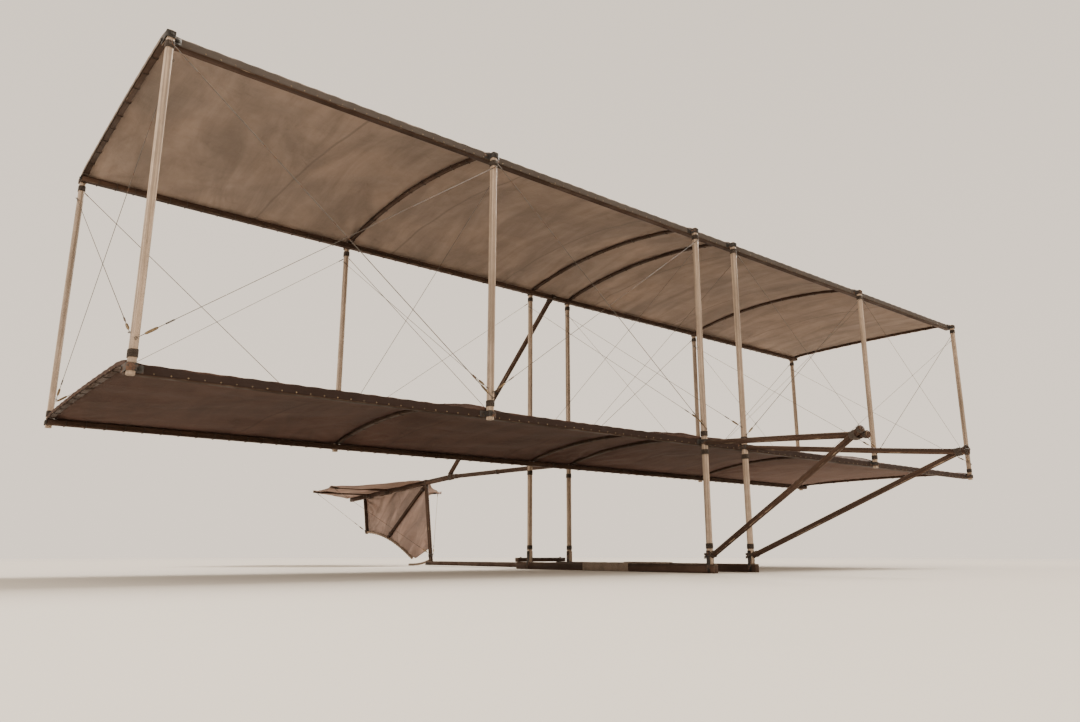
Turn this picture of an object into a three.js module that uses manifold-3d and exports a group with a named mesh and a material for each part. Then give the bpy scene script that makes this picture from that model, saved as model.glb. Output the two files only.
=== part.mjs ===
// A two-surface hang glider of wood, cloth and wire, at its real size in millimetres.
// X runs from wing tip to wing tip, -Y is forward, +Z is up, and it stands on the floor at z = 0.
// Left and right are the flyer's own: left is +X.

import * as THREE from "three";
import { mergeVertices } from "three/addons/utils/BufferGeometryUtils.js";
import Module from "manifold-3d";

const wasm = await Module();
wasm.setup();

// Driving dimensions of the wing cell.
const SPAN = 5360;
const CHORD = 1300;
const WING_GAP = 1070;
const CAMBER = 70;
const TIP_CAMBER = 10;
const LOWER_WING_Z = 620;
const UPPER_WING_Z = LOWER_WING_Z + WING_GAP;

// Clear space left between pieces that touch, and the distance within which two corners are one.
const CLEAR = 0.3;
const SAME_CORNER = 1e-3;

// Spars, ribs and cloth. A spar's top lies on the chord line.
const FRONT_SPAR = { deep: 35, high: 30, chamfer: 3 };
const REAR_SPAR = { deep: 30, high: 25, chamfer: 3 };
const RIB = { wide: 20, high: 15, arcSteps: 9 };
const CLOTH = 3;
const CLOTH_STEPS = 18;
const TIP_RIB_X = SPAN / 2 - RIB.wide / 2 - 2;
const MIDDLE_RIB_X = 1410;
const CENTRE_RIB_X = 154;

// Uprights between the wings. The centre ones run on down to the arm bars.
const STRUT = { wide: 24, deep: 28, chamfer: 7 };
const STRUT_FOOT = 8;
const FRONT_STRUT_Y = -CHORD / 2 - CLOTH - 2 * CLEAR - STRUT.deep / 2;
const REAR_STRUT_Y = CHORD / 2 + CLEAR + STRUT.deep / 2;

// Arm bars, which the flyer hangs from and the glider stands on.
const ARM_BAR = { wide: 30, high: 40, chamfer: 5 };
const ARM_BAR_FRONT_Y = -700;
const ARM_BAR_REAR_Y = 775;
const CROSS_BAR = { deep: 30, high: 24, chamfer: 5, length: 370, y: 750 };

// Forward outriggers: two sticks on each side meet at a tip in front of the wing and run a little past it.
const OUTRIGGER = {
  round: 26, sides: 12, tipX: 400, tipY: -1590, tipZ: 515, topZ: 600, footZ: 78, lap: 24, pastTip: 45,
};

// Tail keel, its slope and the booms that carry it. The upper boom lands a little behind the keel's front end.
const KEEL = { wide: 26, high: 34, chamfer: 4, frontY: 1735, rearY: 3309, frontZ: 620, rearZ: 532 };
const KEEL_LENGTH = Math.hypot(KEEL.rearY - KEEL.frontY, KEEL.rearZ - KEEL.frontZ);
const KEEL_SLOPE = Math.atan2(KEEL.rearZ - KEEL.frontZ, KEEL.rearY - KEEL.frontY);
const BOOM = { wide: 26, deep: 28, chamfer: 8, upperLandingY: KEEL.frontY + 45 };
const LOW_BOOM = { wide: 24, deep: 26, chamfer: 7, frontX: 130, rearX: 24, frontY: 690, rearY: 2010, z: 21 };

// Tail surface, measured along the keel from its front end.
const TAIL = { apexY: 360, frontSparY: 930, rearSparY: 1240, halfSpan: 490, endY: KEEL_LENGTH };
const TAIL_SPAR = { deep: 24, high: 16, chamfer: 3 };

// Fin under the keel, in the plane x = 0. Points are (y, z).
const FIN_STICK = { wide: 24, deep: 28, slim: 20, chamfer: 5 };
const FIN_FOOT = new THREE.Vector2(1991, 9);
const FIN_FRONT_TOP_Y = 2095;
const FIN_REAR_TOP_Y = 3058;
const FIN_REAR_FOOT = new THREE.Vector2(2993, 244);
const FIN_CLOTH = { foot: [2012, 140], topFrontY: FIN_FRONT_TOP_Y - 4, underKeel: 3 };
const FIN_CANE = { round: 18, sides: 10, steps: 14, start: [2262, 54], bend: [2640, 250], end: [2990, 257] };
const FIN_BRACE = { foot: new THREE.Vector2(2640, 210), topY: FIN_FRONT_TOP_Y + 22, topUnder: 12 };
const SKID = { round: 16, sides: 10, steps: 10, start: [2000, 46], bend: [2110, 6], end: [2300, 8] };

const STAY = { round: 3, sides: 8, lowZ: LOWER_WING_Z + 45, highZ: UPPER_WING_Z - 45 };

// Materials.
const ash = () => new THREE.MeshStandardMaterial({ color: 0x6b4a30, roughness: 0.65, metalness: 0 });
const paleAsh = () => new THREE.MeshStandardMaterial({ color: 0xb08d62, roughness: 0.6, metalness: 0 });
const cane = () => new THREE.MeshStandardMaterial({ color: 0x7a5a38, roughness: 0.55, metalness: 0 });
const cotton = () => new THREE.MeshStandardMaterial({ color: 0xcbb491, roughness: 0.9, metalness: 0 });
const wire = () => new THREE.MeshStandardMaterial({ color: 0x7d7a74, roughness: 0.35, metalness: 1 });

const airframe = new THREE.Group();
const pieces = new Map();

// Turns an outline in the (y, z) plane, extruded along its own third axis, so that it runs along +X.
const ACROSS = new THREE.Quaternion(0.5, 0.5, 0.5, 0.5);

// Puts a named mesh in its group and keeps the grown outline that its neighbours are cut back by.
function add(group, name, geometry, material, grown = null) {
  const mesh = new THREE.Mesh(geometry, material);
  mesh.name = name;
  mesh.userData.grown = grown;
  group.add(mesh);
  pieces.set(name, mesh);
  return mesh;
}

// A rectangle about the origin with its corners cut off.
function stickOutline(wide, deep, chamfer) {
  const x = wide / 2;
  const y = deep / 2;
  const outline = new THREE.Shape();
  outline.moveTo(x - chamfer, -y);
  outline.lineTo(x, -y + chamfer);
  outline.lineTo(x, y - chamfer);
  outline.lineTo(x - chamfer, y);
  outline.lineTo(-x + chamfer, y);
  outline.lineTo(-x, y - chamfer);
  outline.lineTo(-x, -y + chamfer);
  outline.lineTo(-x + chamfer, -y);
  outline.closePath();
  return outline;
}

// A regular outline for a round stick, with its corners on the circle.
function roundOutline(round, sides) {
  const corners = [];
  for (let i = 0; i < sides; i++) {
    const turn = ((i + 0.5) * 2 * Math.PI) / sides;
    corners.push(new THREE.Vector2((round / 2) * Math.cos(turn), (round / 2) * Math.sin(turn)));
  }
  return new THREE.Shape(corners);
}

// The turn that points local +Z from start to end and keeps local X as near as can be to sideways.
function turnAlong(start, end, sideways) {
  const along = end.clone().sub(start).normalize();
  const side = sideways.clone().addScaledVector(along, -sideways.dot(along)).normalize();
  const third = along.clone().cross(side);
  return new THREE.Quaternion().setFromRotationMatrix(new THREE.Matrix4().makeBasis(side, third, along));
}

// A straight stick from start to end. outlineOf(grow) gives its section, grown all round by that much.
function addStick(group, name, start, end, outlineOf, material, sideways = new THREE.Vector3(1, 0, 0)) {
  const length = start.distanceTo(end);
  const geometry = new THREE.ExtrudeGeometry(outlineOf(0), { depth: length, bevelEnabled: false });
  const grown = new THREE.ExtrudeGeometry(outlineOf(CLEAR), { depth: length + 2 * CLEAR, bevelEnabled: false });
  grown.translate(0, 0, -CLEAR);
  const mesh = add(group, name, geometry, material, grown);
  mesh.position.copy(start);
  mesh.quaternion.copy(turnAlong(start, end, sideways));
  return mesh;
}

const squareStick = (wide, deep, chamfer) => (grow) => stickOutline(wide + 2 * grow, deep + 2 * grow, chamfer);
const roundStick = (round, sides) => (grow) => roundOutline(round + 2 * grow, sides);

// A bent round stick in the plane x = 0, along one smooth bend between its ends.
function addBentCane(group, name, { round, sides, steps, start, bend, end }) {
  const point = ([y, z]) => new THREE.Vector3(0, y, z);
  const path = new THREE.QuadraticBezierCurve3(point(start), point(bend), point(end));
  const tube = (width) =>
    new THREE.ExtrudeGeometry(roundOutline(width, sides), { steps, extrudePath: path, bevelEnabled: false });
  return add(group, name, tube(round), cane(), tube(round + 2 * CLEAR));
}

// Joins a mesh's vertices into a closed solid, moved by a matrix.
function solidOf(geometry, matrix) {
  const bare = new THREE.BufferGeometry();
  const flat = geometry.index ? geometry.toNonIndexed() : geometry;
  bare.setAttribute("position", flat.getAttribute("position").clone());
  bare.applyMatrix4(matrix);
  const merged = mergeVertices(bare, SAME_CORNER);
  const mesh = new wasm.Mesh({
    numProp: 3,
    vertProperties: merged.attributes.position.array,
    triVerts: new Uint32Array(merged.index.array),
  });
  return new wasm.Manifold(mesh);
}

function geometryOf(solid) {
  const { numProp, vertProperties, triVerts } = solid.getMesh();
  const positions = new Float32Array((vertProperties.length / numProp) * 3);
  for (let i = 0; i < positions.length / 3; i++) {
    positions.set(vertProperties.subarray(i * numProp, i * numProp + 3), i * 3);
  }
  const geometry = new THREE.BufferGeometry();
  geometry.setAttribute("position", new THREE.BufferAttribute(positions, 3));
  geometry.setIndex(new THREE.BufferAttribute(new Uint32Array(triVerts), 1));
  return geometry;
}

// Cuts a piece back to fit against its neighbours, with the clear space between them.
function cutBack(name, neighbours) {
  const mesh = pieces.get(name);
  const toMesh = mesh.matrixWorld.clone().invert();
  let solid = solidOf(mesh.geometry, new THREE.Matrix4());
  for (const neighbour of neighbours) {
    const other = pieces.get(neighbour);
    solid = solid.subtract(solidOf(other.userData.grown, toMesh.clone().multiply(other.matrixWorld)));
  }
  mesh.geometry = geometryOf(solid);
}

// A wing section's arch is a circle through both edges of the chord and a point above its middle.
function archOf(camber) {
  const radius = ((CHORD / 2) ** 2 + camber ** 2) / (2 * camber);
  return { radius, centreZ: camber - radius };
}

// Height at y of the circle that lies a given distance outside the arch.
function archHeight({ radius, centreZ }, y, outside) {
  return Math.sqrt((radius + outside) ** 2 - y ** 2) + centreZ;
}

// Adds to an outline the stretch of that circle between two values of y.
function addArch(outline, arch, fromY, toY, outside) {
  const radius = arch.radius + outside;
  const turnAt = (y) => Math.acos(y / radius);
  outline.absarc(0, arch.centreZ, radius, turnAt(fromY), turnAt(toY), turnAt(toY) < turnAt(fromY));
}

// A rib lies on both spars and is bent to the arch between them.
function ribOutline(camber) {
  const arch = archOf(camber);
  const edge = CHORD / 2;
  const frontSeat = -edge + FRONT_SPAR.deep;
  const rearSeat = edge - REAR_SPAR.deep;
  const outline = new THREE.Shape();
  outline.moveTo(-edge, CLEAR);
  outline.lineTo(frontSeat, CLEAR);
  outline.lineTo(frontSeat, archHeight(arch, frontSeat, 0));
  addArch(outline, arch, frontSeat, rearSeat, 0);
  outline.lineTo(rearSeat, CLEAR);
  outline.lineTo(edge, CLEAR);
  outline.lineTo(edge, archHeight(arch, edge, RIB.high));
  addArch(outline, arch, edge, -edge, RIB.high);
  outline.closePath();
  return outline;
}

// The cloth lies over the ribs and turns down over the front spar's face. Its loop of (y, z) points at one
// section goes back along the top, forward along the underside, and down and up the turned nose.
function clothLoop(camber) {
  const arch = archOf(camber);
  const under = RIB.high + CLEAR;
  const noseInside = -CHORD / 2 - CLEAR;
  const noseOutside = noseInside - CLOTH;
  const loop = [];
  for (let i = 0; i <= CLOTH_STEPS; i++) {
    const y = noseOutside + ((CHORD / 2 - noseOutside) * i) / CLOTH_STEPS;
    loop.push([y, archHeight(arch, y, under + CLOTH)]);
  }
  for (let i = CLOTH_STEPS; i >= 0; i--) {
    const y = noseInside + ((CHORD / 2 - noseInside) * i) / CLOTH_STEPS;
    loop.push([y, archHeight(arch, y, under)]);
  }
  loop.push([noseInside, -FRONT_SPAR.high]);
  loop.push([noseOutside, -FRONT_SPAR.high]);
  return loop;
}

// The cloth is full arched between the middle ribs and runs straight from them to the flatter tip ribs.
const CLOTH_SECTIONS = [
  { x: -SPAN / 2, camber: TIP_CAMBER },
  { x: -TIP_RIB_X + RIB.wide / 2, camber: TIP_CAMBER },
  { x: -MIDDLE_RIB_X - RIB.wide / 2, camber: CAMBER },
  { x: MIDDLE_RIB_X + RIB.wide / 2, camber: CAMBER },
  { x: TIP_RIB_X - RIB.wide / 2, camber: TIP_CAMBER },
  { x: SPAN / 2, camber: TIP_CAMBER },
];

// Skins the loops of all sections and closes both ends. Where the cloth twists, its top and its underside are
// cut along the same diagonals, so that they stay the cloth's thickness apart, and left mirrors right.
function wingClothGeometry() {
  const loops = CLOTH_SECTIONS.map(({ camber }) => clothLoop(camber));
  const around = loops[0].length;
  const positions = CLOTH_SECTIONS.flatMap(({ x }, i) => loops[i].flatMap(([y, z]) => [x, y, z]));
  const faces = [];
  for (let section = 0; section < loops.length - 1; section++) {
    const isRight = CLOTH_SECTIONS[section].x < 0;
    for (let i = 0; i < around; i++) {
      const isUnder = i > CLOTH_STEPS;
      const a = section * around + i;
      const b = section * around + ((i + 1) % around);
      if (isUnder === isRight) faces.push(a, b + around, b, a, a + around, b + around);
      else faces.push(a, a + around, b, a + around, b + around, b);
    }
  }
  const capOf = (loop) => THREE.ShapeUtils.triangulateShape(loop.map(([y, z]) => new THREE.Vector2(y, z)), []);
  const last = (loops.length - 1) * around;
  for (const [a, b, c] of capOf(loops[0])) faces.push(a, c, b);
  for (const [a, b, c] of capOf(loops[loops.length - 1])) faces.push(last + a, last + b, last + c);
  const geometry = new THREE.BufferGeometry();
  geometry.setAttribute("position", new THREE.Float32BufferAttribute(positions, 3));
  geometry.setIndex(faces);
  return geometry;
}

// Sweeps a (y, z) outline along X, centred on x.
function addAcross(group, name, outline, x, wide, material) {
  const settings = { depth: wide, bevelEnabled: false, curveSegments: RIB.arcSteps };
  const mesh = add(group, name, new THREE.ExtrudeGeometry(outline, settings), material);
  mesh.quaternion.copy(ACROSS);
  mesh.position.x = x - wide / 2;
  return mesh;
}

// Where ribs and uprights stand, from the flyer's right to the left.
const STATIONS = [
  { side: "right_tip", x: -TIP_RIB_X },
  { side: "right_middle", x: -MIDDLE_RIB_X },
  { side: "right_centre", x: -CENTRE_RIB_X },
  { side: "left_centre", x: CENTRE_RIB_X },
  { side: "left_middle", x: MIDDLE_RIB_X },
  { side: "left_tip", x: TIP_RIB_X },
];

function addSpar(group, name, y, { deep, high, chamfer }) {
  const start = new THREE.Vector3(-SPAN / 2, y, -high / 2);
  const end = new THREE.Vector3(SPAN / 2, y, -high / 2);
  addStick(group, name, start, end, squareStick(high, deep, chamfer), ash(), new THREE.Vector3(0, 0, 1));
}

function addWing(prefix, z) {
  const wing = new THREE.Group();
  wing.position.z = z;
  airframe.add(wing);
  addSpar(wing, `${prefix}_front_spar`, -CHORD / 2 + FRONT_SPAR.deep / 2, FRONT_SPAR);
  addSpar(wing, `${prefix}_rear_spar`, CHORD / 2 - REAR_SPAR.deep / 2, REAR_SPAR);
  for (const { side, x } of STATIONS) {
    const camber = Math.abs(x) === TIP_RIB_X ? TIP_CAMBER : CAMBER;
    addAcross(wing, `${prefix}_rib_${side}`, ribOutline(camber), x, RIB.wide, ash());
  }
  add(wing, `${prefix}_wing_cloth`, wingClothGeometry(), cotton());
}

// Uprights on the spars' outer faces. The four centre ones stand on the arm bars.
function addUprights() {
  const rows = [
    { row: "front", y: FRONT_STRUT_Y, sparHigh: FRONT_SPAR.high },
    { row: "rear", y: REAR_STRUT_Y, sparHigh: REAR_SPAR.high },
  ];
  for (const { row, y, sparHigh } of rows) {
    for (const { side, x } of STATIONS) {
      const isCentre = Math.abs(x) === CENTRE_RIB_X;
      const footZ = isCentre ? ARM_BAR.high + CLEAR : LOWER_WING_Z - sparHigh - STRUT_FOOT;
      const foot = new THREE.Vector3(x, y, footZ);
      const head = new THREE.Vector3(x, y, UPPER_WING_Z);
      const section = squareStick(STRUT.wide, STRUT.deep, STRUT.chamfer);
      addStick(airframe, `${row}_${isCentre ? "post" : "strut"}_${side}`, foot, head, section, paleAsh());
    }
  }
}

function addArmBars() {
  const section = squareStick(ARM_BAR.wide, ARM_BAR.high, ARM_BAR.chamfer);
  for (const [side, sign] of [["right", -1], ["left", 1]]) {
    const start = new THREE.Vector3(sign * CENTRE_RIB_X, ARM_BAR_FRONT_Y, ARM_BAR.high / 2);
    const end = start.clone().setY(ARM_BAR_REAR_Y);
    addStick(airframe, `arm_bar_${side}`, start, end, section, ash());
  }
  const { deep, high, chamfer, length, y } = CROSS_BAR;
  const z = ARM_BAR.high + CLEAR + high / 2;
  const start = new THREE.Vector3(-length / 2, y, z);
  const end = new THREE.Vector3(length / 2, y, z);
  const crossSection = squareStick(high, deep, chamfer);
  addStick(airframe, "rear_cross_bar", start, end, crossSection, ash(), new THREE.Vector3(0, 0, 1));
}

// Each side's upper stick runs past the tip and the lower one laps its outer face.
function addOutriggers() {
  const { round, sides, tipX, tipY, tipZ, topZ, footZ, lap, pastTip } = OUTRIGGER;
  const postFace = FRONT_STRUT_Y - STRUT.deep / 2;
  for (const [side, sign] of [["right", -1], ["left", 1]]) {
    const outward = new THREE.Vector3(sign * (CENTRE_RIB_X - tipX), 0, 0).setY(postFace - tipY);
    const sideways = new THREE.Vector3(outward.y, -outward.x, 0).normalize().multiplyScalar(sign * lap);
    const rows = [
      { level: "upper", z: topZ, shift: new THREE.Vector3() },
      { level: "lower", z: footZ, shift: sideways },
    ];
    for (const { level, z, shift } of rows) {
      const root = new THREE.Vector3(sign * CENTRE_RIB_X, postFace, z);
      const tip = new THREE.Vector3(sign * tipX, tipY, tipZ).add(shift);
      tip.add(tip.clone().sub(root).setLength(pastTip));
      addStick(airframe, `${level}_outrigger_${side}`, root, tip, roundStick(round, sides), ash());
    }
  }
}

// Height of the keel's centre line at y.
const keelZ = (y) => KEEL.frontZ + Math.tan(KEEL_SLOPE) * (y - KEEL.frontY);
const keelUnderZ = (y) => keelZ(y) - KEEL.high / 2 / Math.cos(KEEL_SLOPE);

function addBooms() {
  const section = squareStick(BOOM.wide, BOOM.deep, BOOM.chamfer);
  const upperStart = new THREE.Vector3(0, CHORD / 2, UPPER_WING_Z - REAR_SPAR.high / 2);
  const upperEnd = new THREE.Vector3(0, BOOM.upperLandingY, keelZ(BOOM.upperLandingY) + KEEL.high / 2);
  addStick(airframe, "upper_centre_boom", upperStart, upperEnd, section, ash());
  const lowerStart = new THREE.Vector3(0, CHORD / 2, LOWER_WING_Z - REAR_SPAR.high / 2);
  const lowerEnd = new THREE.Vector3(0, KEEL.frontY, KEEL.frontZ);
  addStick(airframe, "lower_centre_boom", lowerStart, lowerEnd, section, ash());
  const low = squareStick(LOW_BOOM.wide, LOW_BOOM.deep, LOW_BOOM.chamfer);
  for (const [side, sign] of [["right", -1], ["left", 1]]) {
    const start = new THREE.Vector3(sign * LOW_BOOM.frontX, LOW_BOOM.frontY, LOW_BOOM.z);
    const end = new THREE.Vector3(sign * LOW_BOOM.rearX, LOW_BOOM.rearY, LOW_BOOM.z);
    addStick(airframe, `low_boom_${side}`, start, end, low, ash());
  }
}

// The tail's own frame starts at the keel's front end, with +Y along the keel.
function addTailSurface() {
  const tail = new THREE.Group();
  tail.position.set(0, KEEL.frontY, KEEL.frontZ);
  tail.rotation.x = KEEL_SLOPE;
  airframe.add(tail);
  const keelEnd = new THREE.Vector3(0, KEEL_LENGTH, 0);
  const keelSection = squareStick(KEEL.wide, KEEL.high, KEEL.chamfer);
  addStick(tail, "tail_keel", new THREE.Vector3(), keelEnd, keelSection, ash());
  const sparZ = KEEL.high / 2 - TAIL_SPAR.high / 2;
  const section = squareStick(TAIL_SPAR.high, TAIL_SPAR.deep, TAIL_SPAR.chamfer);
  for (const [row, y] of [["front", TAIL.frontSparY], ["rear", TAIL.rearSparY]]) {
    const start = new THREE.Vector3(-TAIL.halfSpan, y, sparZ);
    const end = new THREE.Vector3(TAIL.halfSpan, y, sparZ);
    addStick(tail, `tail_${row}_cross_spar`, start, end, section, ash(), new THREE.Vector3(0, 0, 1));
  }
  const halfSpar = TAIL_SPAR.deep / 2;
  const outline = new THREE.Shape([
    new THREE.Vector2(0, TAIL.apexY),
    new THREE.Vector2(TAIL.halfSpan, TAIL.frontSparY - halfSpar),
    new THREE.Vector2(TAIL.halfSpan, TAIL.rearSparY + halfSpar),
    new THREE.Vector2(0, TAIL.endY),
    new THREE.Vector2(-TAIL.halfSpan, TAIL.rearSparY + halfSpar),
    new THREE.Vector2(-TAIL.halfSpan, TAIL.frontSparY - halfSpar),
  ]);
  const cloth = new THREE.ExtrudeGeometry(outline, { depth: CLOTH, bevelEnabled: false });
  add(tail, "tail_cloth", cloth, cotton()).position.z = KEEL.high / 2 + CLEAR;
}

function addFin() {
  const inPlane = (y, z) => new THREE.Vector3(0, y, z);
  const stout = squareStick(FIN_STICK.wide, FIN_STICK.deep, FIN_STICK.chamfer);
  const slim = squareStick(FIN_STICK.wide, FIN_STICK.slim, FIN_STICK.chamfer);
  const frontTop = inPlane(FIN_FRONT_TOP_Y, keelUnderZ(FIN_FRONT_TOP_Y));
  const frontFoot = inPlane(FIN_FOOT.x, FIN_FOOT.y);
  addStick(airframe, "fin_front_post", frontFoot, frontTop, stout, ash());
  const rearTop = inPlane(FIN_REAR_TOP_Y, keelUnderZ(FIN_REAR_TOP_Y));
  const rearFoot = inPlane(FIN_REAR_FOOT.x, FIN_REAR_FOOT.y);
  addStick(airframe, "fin_rear_post", rearFoot, rearTop, slim, ash());
  const braceTop = inPlane(FIN_BRACE.topY, keelUnderZ(FIN_FRONT_TOP_Y) - FIN_BRACE.topUnder);
  const braceFoot = inPlane(FIN_BRACE.foot.x, FIN_BRACE.foot.y);
  addStick(airframe, "fin_brace", braceFoot, braceTop, slim, ash());
  addBentCane(airframe, "fin_lower_cane", FIN_CANE);
  addBentCane(airframe, "tail_skid", SKID);

  // The cloth is tacked to the sticks' left faces, from post to post and from the keel to the cane.
  const clothTop = (y) => keelUnderZ(y) - FIN_CLOTH.underKeel;
  const outline = new THREE.Shape();
  outline.moveTo(FIN_CLOTH.topFrontY, clothTop(FIN_FRONT_TOP_Y));
  outline.lineTo(...FIN_CLOTH.foot);
  outline.lineTo(...FIN_CANE.start);
  outline.quadraticCurveTo(...FIN_CANE.bend, ...FIN_CANE.end);
  outline.lineTo(FIN_REAR_TOP_Y, clothTop(FIN_REAR_TOP_Y));
  outline.closePath();
  addAcross(airframe, "fin_cloth", outline, FIN_STICK.wide / 2 + CLEAR + CLOTH / 2, CLOTH, cotton());
}

// Main lift stays: in each outer bay one runs from the inner upright's foot to the outer one's head.
function addStays() {
  const rows = [
    { row: "front", y: FRONT_STRUT_Y - STRUT.deep / 2 - CLEAR - STAY.round / 2 },
    { row: "rear", y: REAR_STRUT_Y + STRUT.deep / 2 + CLEAR + STAY.round / 2 },
  ];
  const bays = [
    { bay: "inner", fromX: CENTRE_RIB_X, toX: MIDDLE_RIB_X },
    { bay: "outer", fromX: MIDDLE_RIB_X, toX: TIP_RIB_X },
  ];
  for (const { row, y } of rows) {
    for (const { bay, fromX, toX } of bays) {
      for (const [side, sign] of [["right", -1], ["left", 1]]) {
        const low = new THREE.Vector3(sign * fromX, y, STAY.lowZ);
        const high = new THREE.Vector3(sign * toX, y, STAY.highZ);
        const section = roundStick(STAY.round, STAY.sides);
        addStick(airframe, `${row}_stay_${bay}_${side}`, low, high, section, wire(), new THREE.Vector3(0, 1, 0));
      }
    }
  }
}

addWing("lower", LOWER_WING_Z);
addWing("upper", UPPER_WING_Z);
addUprights();
addArmBars();
addOutriggers();
addBooms();
addTailSurface();
addFin();
addStays();

// Joints: each piece is cut back by the pieces that it meets.
airframe.updateMatrixWorld(true);
cutBack("tail_keel", ["tail_front_cross_spar", "tail_rear_cross_spar"]);
cutBack("upper_centre_boom", ["upper_rear_spar", "tail_keel"]);
cutBack("lower_centre_boom", ["lower_rear_spar", "tail_keel", "upper_centre_boom"]);
cutBack("fin_front_post", ["tail_keel"]);
cutBack("fin_rear_post", ["tail_keel"]);
cutBack("fin_lower_cane", ["fin_rear_post"]);
cutBack("fin_brace", ["tail_keel", "fin_front_post", "fin_lower_cane"]);
cutBack("tail_skid", ["fin_front_post"]);
for (const side of ["right", "left"]) {
  cutBack(`upper_outrigger_${side}`, [`front_post_${side}_centre`]);
  cutBack(`lower_outrigger_${side}`, [`front_post_${side}_centre`, `upper_outrigger_${side}`]);
  cutBack(`low_boom_${side}`, [`arm_bar_${side}`, "fin_front_post"]);
}

// The origin is under the middle of the whole glider, on the floor.
const box = new THREE.Box3().setFromObject(airframe, true);
airframe.position.y = -(box.min.y + box.max.y) / 2;

export default airframe;
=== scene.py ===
"""Dresses the frame of a two-surface hang glider with its cloth, wood, lashings, wires and fittings.

Everything is in metres. X runs from wing tip to wing tip, -Y is forward and the floor is z = 0.
"""

import math
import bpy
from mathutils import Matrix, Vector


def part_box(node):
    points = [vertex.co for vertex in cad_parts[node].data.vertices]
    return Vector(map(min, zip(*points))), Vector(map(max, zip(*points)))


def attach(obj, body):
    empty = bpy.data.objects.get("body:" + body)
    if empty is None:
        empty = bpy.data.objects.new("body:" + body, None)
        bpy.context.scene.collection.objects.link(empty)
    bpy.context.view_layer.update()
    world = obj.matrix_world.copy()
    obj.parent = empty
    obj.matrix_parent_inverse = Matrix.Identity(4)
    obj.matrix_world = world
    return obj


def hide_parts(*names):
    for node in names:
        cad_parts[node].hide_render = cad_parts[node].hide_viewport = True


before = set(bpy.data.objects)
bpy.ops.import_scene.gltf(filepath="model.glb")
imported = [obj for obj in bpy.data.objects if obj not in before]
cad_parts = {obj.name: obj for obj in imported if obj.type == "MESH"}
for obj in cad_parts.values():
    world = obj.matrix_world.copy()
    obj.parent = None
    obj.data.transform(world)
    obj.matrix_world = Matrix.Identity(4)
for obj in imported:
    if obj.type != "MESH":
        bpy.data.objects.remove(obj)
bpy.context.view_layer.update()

from types import SimpleNamespace
from typing import NamedTuple

import bpy
import numpy as np
from bpy.props import FloatProperty, FloatVectorProperty, PointerProperty
from mathutils import Vector

bl_info = {
    "name": "Two-surface hang glider",
    "version": (1, 0, 0),
    "blender": (4, 5, 0),
    "location": "View3D > Sidebar > Glider",
    "description": "Cloth, wood, lashings, wires and fittings of an early hang glider",
    "category": "Object",
}

BODY = "root"
SIDES = ("right", "left")
ROWS = ("front", "rear")
WINGS = ("lower", "upper")
STATIONS = ("right_tip", "right_middle", "right_centre", "left_centre", "left_middle", "left_tip")

X, Y, Z = np.eye(3)
FULL_TURN = 2 * math.pi
SAME_PLACE = 1e-4
ROUND, OVAL, SOFT, SQUARE, SHARP = 2.0, 3.2, 3.4, 7.0, 8.0
CORD = 0.0026


# Sizes that are read from the frame

def box(node):
    """Lowest and highest corner of a node, as arrays."""
    low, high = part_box(node)
    return np.array(low), np.array(high)


def middle(node):
    return sum(box(node)) / 2


def points_of(node):
    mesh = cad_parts[node].data
    points = np.empty(len(mesh.vertices) * 3, np.float32)
    mesh.vertices.foreach_get("co", points)
    return points.reshape(-1, 3).astype(float)


def faces_of(node):
    """Unit normals and areas of a node's triangles."""
    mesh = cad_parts[node].data
    mesh.calc_loop_triangles()
    triangles = np.empty(len(mesh.loop_triangles) * 3, np.int32)
    mesh.loop_triangles.foreach_get("vertices", triangles)
    a, b, c = points_of(node)[triangles.reshape(-1, 3)].transpose(1, 0, 2)
    cross = np.cross(b - a, c - a)
    double_area = np.linalg.norm(cross, axis=1)
    real = double_area > 0
    return cross[real] / double_area[real, None], double_area[real] / 2


class Stick:
    """A straight stick of the frame: its ends, and the directions and sizes of its section.

    Its axis is the direction that is square to the normals of its long faces. The section's first direction
    is the sideways one, made square to the axis.
    """

    def __init__(self, node, sideways=X):
        normals, areas = faces_of(node)
        long_faces = np.ones(len(areas), bool)
        for _ in range(2):
            n = normals[long_faces]
            spread = (n * areas[long_faces, None]).T @ n
            axis = np.linalg.eigh(spread)[1][:, 0]
            long_faces = np.abs(normals @ axis) < 0.1
        axis *= np.sign(axis[np.argmax(np.abs(axis))])
        side = unit(sideways - axis * (axis @ sideways))
        third = np.cross(axis, side)
        reaches = points_of(node) @ np.stack([axis, side, third], 1)
        low, high = reaches.min(0), reaches.max(0)
        centre = side * (low[1] + high[1]) / 2 + third * (low[2] + high[2]) / 2
        self.start, self.end = centre + axis * low[0], centre + axis * high[0]
        self.axis, self.side, self.third = axis, side, third
        self.length, self.wide, self.deep = high - low

    def at(self, share):
        """The point of its centre line at a share of its length."""
        return self.start + (self.end - self.start) * share

    def along(self, distance):
        """The point of its centre line at a distance from its start."""
        return self.start + self.axis * distance

    def nearer_end(self, point):
        """The end that is nearer to a point, and the direction from there along the stick."""
        if np.linalg.norm(self.start - point) < np.linalg.norm(self.end - point):
            return self.start, self.axis
        return self.end, -self.axis


def unit(vectors):
    return vectors / np.linalg.norm(vectors, axis=-1, keepdims=True)


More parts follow.
